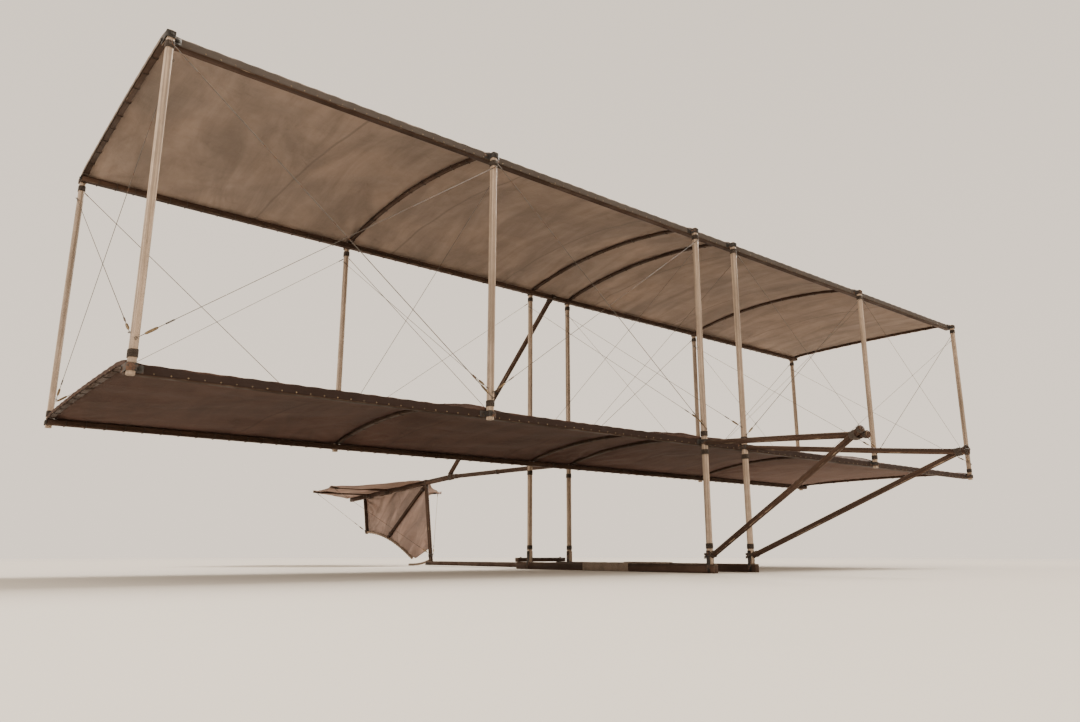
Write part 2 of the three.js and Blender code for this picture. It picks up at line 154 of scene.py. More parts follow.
RIB_X = np.array([middle(f"upper_rib_{station}")[0] for station in STATIONS])
SPAR = {wing: {row: box(f"{wing}_{row}_spar") for row in ROWS} for wing in WINGS}
WING_Z = {wing: SPAR[wing]["front"][1][2] for wing in WINGS}
WING_FRONT = SPAR["upper"]["front"][0][1]
WING_REAR = SPAR["upper"]["rear"][1][1]
WING_MIDDLE = (WING_FRONT + WING_REAR) / 2
CHORD = WING_REAR - WING_FRONT
HALF_SPAN = SPAR["upper"]["front"][1][0]
RIB_WIDE = np.ptp([corner[0] for corner in box("upper_rib_left_tip")])
RIB_HIGH = 0.015
CAMBER = np.array([box(f"upper_rib_{s}")[1][2] - WING_Z["upper"] - RIB_HIGH for s in STATIONS])


# Surfaces, as whole arrays

class Surface(NamedTuple):
    """Points, faces and face coordinates of a piece, with one number a point that its material may read."""

    points: np.ndarray
    quads: np.ndarray
    quad_uv: np.ndarray
    triangles: np.ndarray
    triangle_uv: np.ndarray
    mask: np.ndarray


def joined(surfaces):
    """Several surfaces as one."""
    firsts = np.cumsum([0] + [len(s.points) for s in surfaces])
    shifted = [s._replace(quads=s.quads + n, triangles=s.triangles + n) for s, n in zip(surfaces, firsts)]
    return Surface(*[np.concatenate(arrays) for arrays in zip(*shifted)])


def cell_corners(table):
    """The four corners of each cell of a table, in order round the cell."""
    return np.stack([table[:-1, :-1], table[:-1, 1:], table[1:, 1:], table[1:, :-1]], 2)


def fan(hub, edge, uv):
    """Triangles from a hub to each step of an edge, with the hub's uv half way along the step."""
    triangles = np.stack([np.full(len(edge) - 1, hub), edge[:-1], edge[1:]], 1)
    return triangles, np.stack([(uv[:-1] + uv[1:]) / 2, uv[:-1], uv[1:]], 1)


def table_of(*arrays):
    """Arrays stretched to one shape and put side by side."""
    return np.stack(np.broadcast_arrays(*arrays), -1)


def grid(points, uv, around=False, along=False, caps=False, mask=None):
    """A surface through a grid of points, row by row.

    around joins the last column to the first, along joins the last row to the first, and caps closes the
    first and last rows with a fan to their middle. uv has one more column or row than a joined grid.
    """
    rows, columns = points.shape[:2]
    index = np.arange(rows * columns).reshape(rows, columns)
    if around:
        index = np.concatenate([index, index[:, :1]], 1)
    if along:
        index = np.concatenate([index, index[:1]], 0)
    quads, quad_uv = cell_corners(index).reshape(-1, 4), cell_corners(uv).reshape(-1, 4, 2)
    flat = points.reshape(-1, 3)
    mask = np.zeros(len(flat)) if mask is None else mask.reshape(-1)
    triangles, triangle_uv = np.empty((0, 3), int), np.empty((0, 3, 2))
    if caps:
        first, first_uv = fan(len(flat), index[0][::-1], uv[0][::-1])
        last, last_uv = fan(len(flat) + 1, index[-1], uv[-1])
        triangles, triangle_uv = np.concatenate([first, last]), np.concatenate([first_uv, last_uv])
        flat = np.concatenate([flat, [points[0].mean(0), points[-1].mean(0)]])
        mask = np.concatenate([mask, [0, 0]])
    return Surface(flat, quads, quad_uv, triangles, triangle_uv, mask)


def superellipse(turn, power):
    """Cosine and sine of a turn, each to the power 2 / power: a circle at 2 and nearly a square at 8."""
    return [np.sign(a) * np.abs(a) ** (2 / power) for a in (np.cos(turn), np.sin(turn))]


def ring_of(columns, power):
    """A superellipse with half sizes of one, as two rows of numbers, and how near each is to a corner."""
    turn = (np.arange(columns) + 0.5) / columns * FULL_TURN
    return *superellipse(turn, power), np.sin(2 * turn) ** 2


STICK_COLUMNS = 20
STICK_PITCH = 0.1
NOSE = 0.0015
NOSE_STEP = 0.3


def stick_surface(stick, power, bow):
    """A stick: a superellipse carried from start to end, a little smaller at both rounded ends.

    It bows by a half sine, with a third of that again as a full sine. Its u runs along the stick and its v
    around it, both in metres. The mask is 1 at the corners.
    """
    length = stick.length
    inner = np.linspace(NOSE, length - NOSE, max(2, int(length / STICK_PITCH) + 1))
    along = np.concatenate([[0, NOSE * NOSE_STEP], inner, [length - NOSE * NOSE_STEP, length]])
    shrink = np.zeros(len(along))
    shrink[[0, -1]], shrink[[1, -2]] = NOSE, NOSE * NOSE_STEP
    cos, sin, corner = ring_of(STICK_COLUMNS, power)
    across = (stick.wide / 2 - shrink)[:, None] * cos
    upward = (stick.deep / 2 - shrink)[:, None] * sin
    share = along / length
    bent = bow * (np.sin(share * math.pi) + np.sin(share * FULL_TURN) / 3)
    centre = stick.start + along[:, None] * stick.axis
    centre += bent[:, None] * (stick.side * 0.8 + stick.third * 0.6)
    points = centre[:, None, :] + across[..., None] * stick.side + upward[..., None] * stick.third
    around = np.arange(STICK_COLUMNS + 1) / STICK_COLUMNS * 2 * (stick.wide + stick.deep)
    mask = np.broadcast_to(corner, (len(along), STICK_COLUMNS)).copy()
    mask[[0, 1, -2, -1]] = 1
    return grid(points, table_of(along[:, None], around[None, :]), around=True, caps=True, mask=mask)


def sweep(path, across, wide, deep, power, columns, closed=False, around=1.0):
    """A superellipse carried along a path, wide across it and deep the other way.

    across is a direction that no stretch of the path runs along: each section's side is square to it and to
    the path. u is the distance along the path, and v goes from 0 to around on the way round the section.
    """
    ahead = np.roll(path, -1, 0) - np.roll(path, 1, 0)
    if not closed:
        ahead[0], ahead[-1] = path[1] - path[0], path[-1] - path[-2]
    ahead = unit(ahead)
    side = unit(np.cross(ahead, across))
    third = np.cross(ahead, side)
    cos, sin, corner = ring_of(columns, power)
    offset = (wide / 2 * cos)[:, None] * side[:, None] + (deep / 2 * sin)[:, None] * third[:, None]
    run = lengths_along(np.concatenate([path, path[:1]]) if closed else path)
    turn = np.arange(columns + 1) / columns * around
    mask = np.broadcast_to(corner, (len(path), columns)).copy()
    uv = table_of(run[:, None], turn[None, :])
    return grid(path[:, None, :] + offset, uv, around=True, along=closed, caps=not closed, mask=mask)


def lengths_along(path):
    """The distance along a path to each of its points."""
    return np.concatenate([[0], np.cumsum(np.linalg.norm(np.diff(path, axis=0), axis=1))])


def tube(path, radius, across, columns=6, closed=False, around=1.0):
    """A round cord or wire along a path."""
    return sweep(path, across, 2 * radius, 2 * radius, ROUND, columns, closed, around)


BEND_STEPS = 4


def rounded(corners, radius, closed=False):
    """A line whose corners are rounded by parabolas that start and end a radius from each of them."""
    corners = np.asarray(corners, float)
    into = corners + unit(np.roll(corners, 1, 0) - corners) * radius
    out = corners + unit(np.roll(corners, -1, 0) - corners) * radius
    t = np.linspace(0, 1, BEND_STEPS)[None, :, None]
    curve = into[:, None] * (1 - t) ** 2 + corners[:, None] * 2 * t * (1 - t) + out[:, None] * t ** 2
    if closed:
        return curve.reshape(-1, 3)
    return np.concatenate([corners[:1], curve[1:-1].reshape(-1, 3), corners[-1:]])


def cord_loop(corners, across, bend=0.003, cord=CORD):
    """A closed cord round some corners."""
    return tube(rounded(corners, bend, closed=True), cord / 2, across, columns=5, closed=True)


def lathe(profile, columns=12):
    """A profile of radius and height turned round Z, which starts and ends near it and is closed there."""
    radius, height = np.array(profile, float).T[..., None]
    turn = np.arange(columns) / columns * FULL_TURN
    points = table_of(radius * np.cos(turn), radius * np.sin(turn), height)
    return grid(points, table_of(height, np.arange(columns + 1) / columns), around=True, caps=True)


def turn_to(axis):
    """The turn that brings Z to an axis, as rows that a point is multiplied by."""
    axis = unit(axis)
    side = unit(np.cross(axis, X if abs(axis[0]) < 0.9 else Y))
    return np.stack([side, np.cross(axis, side), axis])


def copies(surface, places, axes):
    """One surface of many copies, each turned so that its Z is its own axis and moved to its place."""
    axes = np.broadcast_to(axes, np.shape(places))
    return joined([surface._replace(points=surface.points @ turn_to(axis) + place)
                   for place, axis in zip(places, axes)])


WINDING_PITCH = 1.04
OFF_FLOOR = 0.0003


def winding(stick, start, turns, power=OVAL, cord=CORD, steps=18, grow=0.0, cover=None):
    """Cord wound round a stick: a helix on its section, each turn a cord's width from the next.

    No turn goes under the floor, or past a cover where there is one: there it is pressed into the stick. A
    cover is a direction and how far the cord may reach that way.
    """
    turn = np.linspace(0, turns, int(turns * steps) + 1) * FULL_TURN
    cos, sin = superellipse(turn, power)
    along = start + cord * WINDING_PITCH * turn / FULL_TURN
    across = ((stick.wide + cord) / 2 + grow) * cos
    upward = ((stick.deep + cord) / 2 + grow) * sin
    points = stick.start + along[:, None] * stick.axis
    points = points + across[:, None] * stick.side + upward[:, None] * stick.third
    points[:, 2] = np.maximum(points[:, 2], cord / 2 + OFF_FLOOR)
    if cover is not None:
        direction, reach = cover
        points -= np.maximum(points @ direction - (reach - cord / 2), 0)[:, None] * direction
    return tube(points, cord / 2, stick.axis)


def add_piece(name, surface, finish, replaced=(), smooth=True):
    """Makes a surface into a piece of the object, which rides on the glider's one body."""
    mesh = bpy.data.meshes.new(name)
    quads, triangles = surface.quads, surface.triangles
    corners = np.concatenate([quads.ravel(), triangles.ravel()]).astype(np.int32)
    sizes = np.concatenate([np.full(len(quads), 4), np.full(len(triangles), 3)]).astype(np.int32)
    mesh.vertices.add(len(surface.points))
    mesh.vertices.foreach_set("co", surface.points.astype(np.float32).ravel())
    mesh.loops.add(len(corners))
    mesh.loops.foreach_set("vertex_index", corners)
    mesh.polygons.add(len(sizes))
    mesh.polygons.foreach_set("loop_start", (np.cumsum(sizes) - sizes).astype(np.int32))
    mesh.update(calc_edges=True)
    uv = np.concatenate([surface.quad_uv.reshape(-1, 2), surface.triangle_uv.reshape(-1, 2)])
    mesh.uv_layers.new(name="UVMap").data.foreach_set("uv", uv.astype(np.float32).ravel())
    corner = mesh.attributes.new("corner", "FLOAT", "POINT")
    corner.data.foreach_set("value", surface.mask.astype(np.float32))
    mesh.polygons.foreach_set("use_smooth", np.full(len(sizes), smooth))
    mesh.validate()
    mesh.materials.append(FINISHES[finish])
    piece = bpy.data.objects.new(name, mesh)
    bpy.context.scene.collection.objects.link(piece)
    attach(piece, BODY)
    if replaced:
        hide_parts(*replaced)
    return piece


# Shader node groups

class Wire:
    """A node's output that formulas are written with: each operation adds a maths node to its tree."""

    def __init__(self, nodes, socket):
        self.nodes, self.socket = nodes, socket

    def __add__(self, other):
        return self.nodes.math("ADD", self, other)

    def __sub__(self, other):
        return self.nodes.math("SUBTRACT", self, other)

    def __rsub__(self, other):
        return self.nodes.math("SUBTRACT", other, self)

    def __mul__(self, other):
        return self.nodes.math("MULTIPLY", self, other)

    def __abs__(self):
        return self.nodes.math("ABSOLUTE", self)


class Nodes:
    """A short way to add and link nodes in one tree."""

    def __init__(self, tree):
        self.tree = tree

    def feed(self, socket, value):
        """Links an output to an input, or sets the input's own value."""
        if isinstance(value, Wire):
            self.tree.links.new(value.socket, socket)
        elif value is not None:
            socket.default_value = value

    def new(self, kind, inputs, **settings):
        """Adds a node, sets its settings and feeds its inputs, each by its name or its place."""
        node = self.tree.nodes.new(f"ShaderNode{kind}")
        for key, setting in settings.items():
            setattr(node, key, setting)
        for socket, value in inputs.items():
            self.feed(node.inputs[socket], value)
        return node

    def add(self, kind, *inputs, output=0, **settings):
        """Adds a node, feeds its inputs in order and gives the output that is asked for."""
        return Wire(self, self.new(kind, dict(enumerate(inputs)), **settings).outputs[output])

    def outputs(self, node):
        return [Wire(self, socket) for socket in node.outputs]

    def math(self, operation, *values):
        return self.add("Math", *values, operation=operation)

    def sine(self, value):
        return self.math("SINE", value)

    def mix(self, share, a, b):
        """A colour between a and b."""
        return Wire(self, self.new("Mix", {0: share, 6: a, 7: b}, data_type="RGBA").outputs[2])

    def noise(self, vector, scale, detail, roughness=0.55, distortion=0.0):
        values = {"Vector": vector, "Scale": scale, "Detail": detail, "Roughness": roughness,
                  "Distortion": distortion}
        return Wire(self, self.new("TexNoise", values).outputs["Fac"])

    def cells(self, vector, scale):
        """Distance to the nearest border of irregular cells."""
        values = {"Vector": vector, "Scale": scale}
        return Wire(self, self.new("TexVoronoi", values, feature="DISTANCE_TO_EDGE").outputs["Distance"])

    def parts(self, vector):
        """The three numbers of a vector."""
        return self.outputs(self.new("SeparateXYZ", {0: vector}))

    def moved(self, vector, offset):
        return self.add("VectorMath", vector, offset, operation="ADD")

    def stretch(self, vector, x, y, z=1.0):
        return self.add("VectorMath", vector, (x, y, z), operation="MULTIPLY")

    def turned(self, vector, angle):
        """A vector turned round Z."""
        values = {"Vector": vector, "Angle": angle}
        return Wire(self, self.new("VectorRotate", values, rotation_type="Z_AXIS").outputs[0])

    def between(self, value, low, high, to_low=0.0, to_high=1.0):
        """A number moved smoothly from one range to another and kept inside it."""
        return self.add("MapRange", value, low, high, to_low, to_high, interpolation_type="SMOOTHSTEP")


def fill_weave(n, vector, threads, slubs):
    """Plain weave: threads of both ways, each a sine across its width, with slubs that run along them."""
    across, along, _ = n.parts(vector)
    turn = threads * math.pi
    thread = abs(n.sine(across * turn)) * abs(n.sine(along * turn))
    fine, long = 420, 9
    warp_slub = n.noise(n.stretch(vector, fine, long), 1.0, 2.0)
    weft_slub = n.noise(n.stretch(vector, long, fine), 1.0, 2.0)
    slub = (warp_slub + weft_slub) * 0.5
    return thread * 0.35 + slub * slubs, slub


def fill_grain(n, vector, seed, pores):
    """Wood grain: growth rings as bands that wander along the stick, with fine pores that lie along it."""
    moved = n.moved(vector, n.add("CombineXYZ", seed, seed, 0.0))
    wander = n.noise(n.stretch(moved, 1.3, 9), 1.0, 3.0)
    rings = n.noise(n.stretch(moved, 1.1, 85), 1.0, 3.0, 0.6, 0.35)
    fleck = n.between(n.noise(n.stretch(moved, 26, 1100), 1.0, 2.0), 0.56, 0.7)
    tone = n.between(rings * 0.7 + wander * 0.3, 0.34, 0.66)
    return tone - fleck * pores, rings * 0.4 - fleck * 0.6


def fill_blotch(n, vector, scale):
    """Handling marks and weather: soft patches of two sizes, with drier rims where they end."""
    broad = n.noise(vector, scale, 5.0, 0.62, 0.4)
    fine = n.noise(vector, scale * 7.0, 4.0, 0.6)
    patch = n.between(broad * 0.75 + fine * 0.25, 0.36, 0.66)
    rim = 1.0 - abs((broad - 0.56) * 26.0)
    return patch, n.math("MAXIMUM", rim, 0.0)


def fill_edge_wear(n, vector, corner, amount):
    """Wear: the corner mask, broken up by noise, so that rubbed wood shows in stretches of the edges."""
    broken = n.noise(n.stretch(vector, 14, 40), 1.0, 5.0, 0.65)
    return [n.between(corner * 0.6 + broken, 1.16 - amount, 1.24)]


def fill_creases(n, vector, crumple):
    """Creases of cloth that has been folded away: bent borders of irregular cells, which come and go."""
    bend = n.noise(vector, 3.1, 3.0, 0.6)
    moved = n.moved(vector, n.add("CombineXYZ", bend * 0.26, bend * -0.2, 0.0))
    coarse = n.between(n.cells(n.stretch(moved, 1.0, 0.7), 3.4), 0.085, 0.0)
    fine = n.between(n.cells(n.stretch(moved, 0.8, 1.1), 10.5), 0.1, 0.0)
    here = n.between(n.noise(vector, 2.3, 2.0), 0.4, 0.62)
    there = n.between(n.noise(vector, 5.9, 2.0), 0.45, 0.65)
    line = n.math("MAXIMUM", coarse * here, fine * there * 0.6)
    soft = n.noise(n.stretch(moved, 3.2, 7.5), 1.0, 4.0, 0.6, 0.6)
    return line, line * 0.5 + soft * crumple


def fill_seams(n, vector, width, seed):
    """Flat seams where cloth widths meet: a doubled strip with a row of stitches near each edge."""
    across, along, _ = n.parts(vector)
    offset = n.math("PINGPONG", across, width * 0.5)
    strip = n.between(offset, 0.0065, 0.0055)
    line = n.between(abs(offset - 0.0045), 0.0012, 0.0004)
    stitch = n.between(n.sine(along * (FULL_TURN / 0.006)), -0.35, 0.0)
    panel = n.math("FLOOR", n.math("DIVIDE", across, width))
    tone = n.add("TexWhiteNoise", None, panel + seed, noise_dimensions="1D")
    return strip, line * stitch, tone


GROUP_TABLE = {
    "weave": (fill_weave, "Plain weave", {"Threads per metre": 900.0, "Slubs": 0.6}, ("Height", "Slub")),
    "grain": (fill_grain, "Wood grain", {"Seed": 0.0, "Pores": 0.5}, ("Tone", "Height")),
    "blotch": (fill_blotch, "Weather blotches", {"Scale": 2.0}, ("Patch", "Rim")),
    "wear": (fill_edge_wear, "Edge wear", {"Corner": 0.0, "Amount": 0.1}, ("Wear",)),
    "creases": (fill_creases, "Folded cloth", {"Crumple": 2.0}, ("Line", "Height")),
    "seams": (fill_seams, "Sewn widths", {"Cloth width": 0.76, "Seed": 0.0},
              ("Strip", "Stitch", "Panel tone")),
}
GROUPS = {}


def make_groups():
    for key, row in GROUP_TABLE.items():
        GROUPS[key] = make_group(*row)


def make_group(fill, name, numbers, results):
    """A shader node group that takes a vector and named numbers, and puts out named numbers."""
    tree = bpy.data.node_groups.new(name, "ShaderNodeTree")
    tree.interface.new_socket("Vector", in_out="INPUT", socket_type="NodeSocketVector")
    for label, default in numbers.items():
        socket = tree.interface.new_socket(label, in_out="INPUT", socket_type="NodeSocketFloat")
        socket.default_value = default
    for label in results:
        tree.interface.new_socket(label, in_out="OUTPUT", socket_type="NodeSocketFloat")
    n = Nodes(tree)
    given = tree.nodes.new("NodeGroupInput")
    result = tree.nodes.new("NodeGroupOutput")
    wires = fill(n, *[Wire(n, given.outputs[label]) for label in ("Vector", *numbers)])
    for label, wire in zip(results, wires, strict=True):
        n.feed(result.inputs[label], wire)
    return tree


class Finish(Nodes):
    """A material with one Principled shader, and short names for its groups and sockets."""

    def __init__(self, name, roughness, gloss=0.5, metallic=0.0):
        self.material = bpy.data.materials.new(name)
        self.material.use_nodes = True
        super().__init__(self.material.node_tree)
        self.shader = self.tree.nodes["Principled BSDF"]
        numbers = {"Roughness": roughness, "Specular IOR Level": gloss, "Metallic": metallic}
        for socket, number in numbers.items():
            self.shader.inputs[socket].default_value = number
        self.uv = self.add("UVMap", uv_map="UVMap")
        self.place = self.add("TexCoord", output="Object")

    def group(self, key, vector, **numbers):
        """Adds a group, feeds its numbers by their names and gives its outputs in order."""
        labels = {name.replace("_", " ").capitalize(): value for name, value in numbers.items()}
        return self.outputs(self.new("Group", {"Vector": vector, **labels}, node_tree=GROUPS[key]))

    def colour(self, value):
        self.feed(self.shader.inputs["Base Color"], value)

    def rough(self, value):
        self.feed(self.shader.inputs["Roughness"], value)

    def bump(self, height, distance, strength, over=None):
        """Bumps the surface, over another bump's normal where there is one."""
        values = {"Strength": strength, "Distance": distance, "Height": height, "Normal": over}
        normal = Wire(self, self.new("Bump", values).outputs["Normal"])
        self.feed(self.shader.inputs["Normal"], normal)
        return normal

    def blend_with(self, other, share):
        """Lets another shader take a share of the surface."""
        blend = self.add("MixShader", share, Wire(self, self.shader.outputs[0]), other)
        self.feed(self.tree.nodes["Material Output"].inputs["Surface"], blend)


def shade(colour, factor):
    """A colour made lighter or darker, with full opacity."""
    return (*[min(1.0, c * factor) for c in colour[:3]], 1.0)


def cloth_finish(name, colour, through, seed, cloth_width=0.76, crumple=2.0, hem=0.0, painted_tip_light=0.0,
                 slant=0.12, contrast=0.24):
    """Unbleached cotton: weave and slubs, creases, sewn widths that differ a little, water marks, grime.

    A share of the light comes through. The hem is a strip along the front edge that is painted dark:
    painted shade, for the dark front edge of the backlit wing. The left tip may be painted lighter:
    painted light, where the sun reaches the lower wing past the upper one.
    """
    f = Finish(name, roughness=0.92)
    along_span, along_chord, _ = f.parts(f.uv)
    weave, slub = f.group("weave", f.uv, threads_per_metre=700.0, slubs=0.8)
    strip, stitch, panel = f.group("seams", f.uv, cloth_width=cloth_width, seed=seed)
    moved = f.moved(f.uv, (seed * 3.7, seed * 1.9, 0))
    patch, rim = f.group("blotch", moved, scale=1.7)
    line, folds = f.group("creases", moved, crumple=crumple)
    # Random streaks in the cloth's tone. On the tail they run diagonally with more contrast, and there they
    # are also painted light and shade of broad folds.
    slanted = f.stretch(f.turned(moved, slant), 7, 1.5)
    streaks = f.between(f.noise(slanted, 1.0, 5.0, 0.62, 0.8), 0.33, 0.7)
    tone = f.mix(streaks, shade(colour, 1 - contrast), shade(colour, 1 + contrast))
    water = (*colour[:2], colour[2] * 0.93)
    # Tones over the streaks: water marks and their rims, darker crease lines, width tones, slubs, seam
    # strips and stitches.
    tone_marks = (
        (patch * 0.5, shade(water, 0.72)),
        (rim * 0.2, shade(colour, 0.5)),
        (line * 0.22, shade(colour, 0.55)),
        (panel * 0.22, shade(colour, 0.7)),
        (f.between(slub, 0.4, 0.62) * 0.3, shade(colour, 1.25)),
        (strip * 0.35, shade(colour, 0.6)),
        (stitch * 0.6, shade(colour, 1.5)),
    )
    for share, mark_tone in tone_marks:
        tone = f.mix(share, tone, mark_tone)
    # Painted light: the left tip is painted lighter, where the sun reaches the lower wing past the upper
    # wing's shade.
    if painted_tip_light:
        tip_light_colour = (colour[0], colour[1] * 1.25, colour[2] * 1.45)
        to_tip = f.parts(f.place)[0] + streaks * 0.35
        tone = f.mix(f.between(to_tip, 0.7, 2.9, 0.0, painted_tip_light), tone, shade(tip_light_colour, 2.0))
    # Painted shade: the hem strip is painted dark, for the dark front edge of the backlit wing.
    if hem:
        hem_shade = f.between(along_chord + streaks * 0.006, hem + 0.004, hem - 0.001)
        tone = f.mix(hem_shade * 0.8, tone, shade(colour, 0.2))
    f.colour(tone)
    f.rough(f.between(patch, 0.0, 1.0, 0.86, 0.96))
    folded = f.bump(folds, 0.0045, 0.9)
    normal = f.bump(weave + strip * 1.2 - stitch * 0.9, 0.0006, 0.8, folded)
    warm = (colour[0], colour[1] * 0.95, colour[2] * 0.86)
    cloudy = f.between(f.noise(moved, 2.6, 5.0, 0.62, 0.7), 0.35, 0.68)
    lit = f.mix((streaks + cloudy) * 0.5, shade(warm, 0.88 - contrast), shade(warm, 1.34 + contrast))
    seam = f.between(f.math("PINGPONG", along_span, cloth_width / 2), 0.0072, 0.0056)
    lit = f.mix(seam * 0.6, lit, shade(warm, 0.3))
    # The hem also lets almost no light through, as the same painted shade.
    if hem:
        lit = f.mix(hem_shade, lit, shade(warm, 0.08))
    f.blend_with(f.add("BsdfTranslucent", lit, normal), through)
    return f.material


def wood_finish(name, colour, rubbed, seed, roughness=0.66, wear=0.1, gloss=0.14):
    """Varnished or oiled wood: grain along the stick, darker pores, grime, and edges rubbed bare."""
    f = Finish(name, roughness, gloss)
    grain, height = f.group("grain", f.uv, seed=seed, pores=0.55)
    corner = f.add("Attribute", output="Fac", attribute_name="corner")
    worn, = f.group("wear", f.uv, corner=corner, amount=wear)
    grime, _ = f.group("blotch", f.place, scale=5.0)
    tone = f.mix(grain, shade(colour, 0.55), shade(colour, 1.45))
    tone = f.mix(grime * 0.45, tone, shade(colour, 0.42))
    f.colour(f.mix(worn * 0.75, tone, f.mix(grain, shade(rubbed, 0.7), rubbed)))
    f.rough(f.between(grime, 0.0, 1.0, roughness - 0.1, roughness + 0.16) + worn * 0.2)
    f.bump(height, 0.0004, 0.7)
    return f.material


def cord_finish(name, colour):
    """Laid cord of three strands: a groove that winds around it, with lighter fibres on the crowns."""
    f = Finish(name, roughness=0.8)
    along, around, _ = f.parts(f.uv)
    strand = abs(f.sine((along * 95.0 + around) * (FULL_TURN * 1.5)))
    dirt, _ = f.group("blotch", f.place, scale=18.0)
    tone = f.mix(strand, shade(colour, 0.45), shade(colour, 1.3))
    f.colour(f.mix(dirt * 0.5, tone, shade(colour, 0.5)))
    f.rough(f.between(dirt, 0.0, 1.0, 0.66, 0.9))
    f.bump(strand, 0.0008, 0.8)
    return f.material


def metal_finish(name, colour, rust, roughness, metallic=1.0, gloss=0.5):
    """Old worked metal: a dull surface with fine scratches, and rust that gathers in patches."""
    f = Finish(name, roughness, gloss, metallic)
    spots, _ = f.group("blotch", f.place, scale=30.0)
    scratch = f.noise(f.stretch(f.place, 300, 60, 60), 1.0, 3.0)
    rusted = f.between(spots, 0.45, 0.95)
    tone = f.mix(f.between(scratch, 0.4, 0.65), shade(colour, 0.8), shade(colour, 1.15))
    f.colour(f.mix(rusted, tone, rust))
    f.rough(f.between(rusted, 0.0, 1.0, roughness, 0.85))
    f.feed(f.shader.inputs["Metallic"], f.between(rusted, 0.0, 1.0, metallic, 0.15))
    f.bump(scratch + spots, 0.0002, 0.6)
    return f.material


FINISHES = {}


def make_finishes(c):
    """Makes every finish from the colours that the user sets."""
    low, high = SPAR["upper"]["front"]
    hem = high[2] - low[2]
    FINISHES.update(
        upper_cloth=cloth_finish("Upper wing cotton", c.upper_cloth, 0.34, 1.0, hem=hem),
        # The lower wing's dark colour is painted shade from the upper wing, and its left tip is painted
        # lighter as painted light.
        lower_cloth=cloth_finish("Lower wing cotton", c.lower_cloth, 0.26, 6.0, hem=hem, painted_tip_light=0.6),
        # The tail's and fin's streaks run diagonally with more contrast: painted light and shade of broad
        # folds, over the cloth's own streaks.
        tail_cloth=cloth_finish("Tail cotton", c.tail_cloth, 0.3, 11.0, 0.5, 3.0, slant=-0.7,
                                contrast=0.42),
        upper_tape=cloth_finish("Upper wing tape", shade(c.upper_cloth, 0.72), 0.1, 17.0, 9.0),
        # The lower tape's colour is made from the lower wing's, so it carries the same painted shade.
        lower_tape=cloth_finish("Lower wing tape", shade(c.lower_cloth, 1.35), 0.1, 19.0, 9.0),
        # The dark wood's near-black colour is painted shade of the backlit spars and ribs.
        dark_wood=wood_finish("Ash darkened as painted shade", c.dark_wood, c.rubbed_wood, 2.0),
        pale_wood=wood_finish("Oiled ash", c.pale_wood, c.rubbed_wood, 7.0, 0.55, 0.06, 0.3),
        cane=wood_finish("Bent cane", c.cane, c.rubbed_wood, 13.0, 0.48, 0.05, 0.4),
        cord=cord_finish("Tarred cord", c.cord),
        grip=cord_finish("Grip cord", c.grip),
        iron=metal_finish("Blackened iron", c.iron, c.rust, 0.64),
        wire=metal_finish("Drawn wire", c.wire, c.rust, 0.8, 0.3, 0.15),
        brass=metal_finish("Dull brass", c.brass, shade(c.brass, 0.3), 0.5),
    )


# Values that a user would change

def colour_property(name, description, default):
    return FloatVectorProperty(name=name, description=description, default=(*default, 1.0), size=4, min=0,
                               max=1, subtype="COLOR")


def size_property(name, description, default, low, high):
    return FloatProperty(name=name, description=description, default=default, min=low, max=high,
                         unit="LENGTH", precision=4)


class GliderColours(bpy.types.PropertyGroup):
    upper_cloth: colour_property("Upper wing", "Cotton of the upper wing", (0.318, 0.254, 0.213))
    # Much darker than the upper wing: painted shade, for the shade that the upper wing casts on the lower
    # one.
    lower_cloth: colour_property("Lower wing", "Darker cotton of the lower wing", (0.092, 0.045, 0.03))
    tail_cloth: colour_property("Tail", "Cotton of the tail and the fin", (0.385, 0.286, 0.245))
    # Near-black as painted shade: the spars and ribs are set as dark as they look backlit under the cloth.
    dark_wood: colour_property("Dark wood", "Varnished spars, ribs, bars and booms", (0.055, 0.031, 0.02))
    pale_wood: colour_property("Pale wood", "Oiled uprights", (0.37, 0.276, 0.2))
    rubbed_wood: colour_property("Rubbed wood", "Bare wood where edges are worn", (0.38, 0.285, 0.2))
    cane: colour_property("Cane", "Bent cane of the fin and the skid", (0.21, 0.142, 0.09))
    cord: colour_property("Lashing cord", "Tarred cord of the lashings", (0.05, 0.033, 0.022))
    grip: colour_property("Grip cord", "Cord wound round the arm bars", (0.235, 0.17, 0.122))
    iron: colour_property("Iron", "Plates, straps and bolts", (0.065, 0.06, 0.055))
    wire: colour_property("Wire", "Stays and bracing wires", (0.13, 0.118, 0.104))
    brass: colour_property("Brass", "Turnbuckles and tacks", (0.27, 0.195, 0.115))
    rust: colour_property("Rust", "Rust on iron and wire", (0.12, 0.06, 0.034))
    floor: colour_property("Floor", "Pale studio floor", (0.62, 0.572, 0.512))
    sky: colour_property("Surround", "Pale light all round", (0.93, 0.805, 0.67))


class GliderCloth(bpy.types.PropertyGroup):
    thickness: size_property("Thickness", "Thickness of the cloth", 0.0012, 0.0004, 0.003)
    pitch: size_property("Grid pitch", "Distance between points of the cloth", 0.0145, 0.008, 0.05)
    pull: FloatProperty(name="Spanwise pull", default=4.0, min=1.0, max=12.0,
                        description="Pull along the span, as a multiple of the pull along the chord")
    wrinkle: size_property("Wrinkles", "Height of wrinkles that run from the corners", 0.0075, 0.0, 0.02)
    pucker: size_property("Puckers", "Height of the puckers between tacks", 0.0011, 0.0, 0.005)


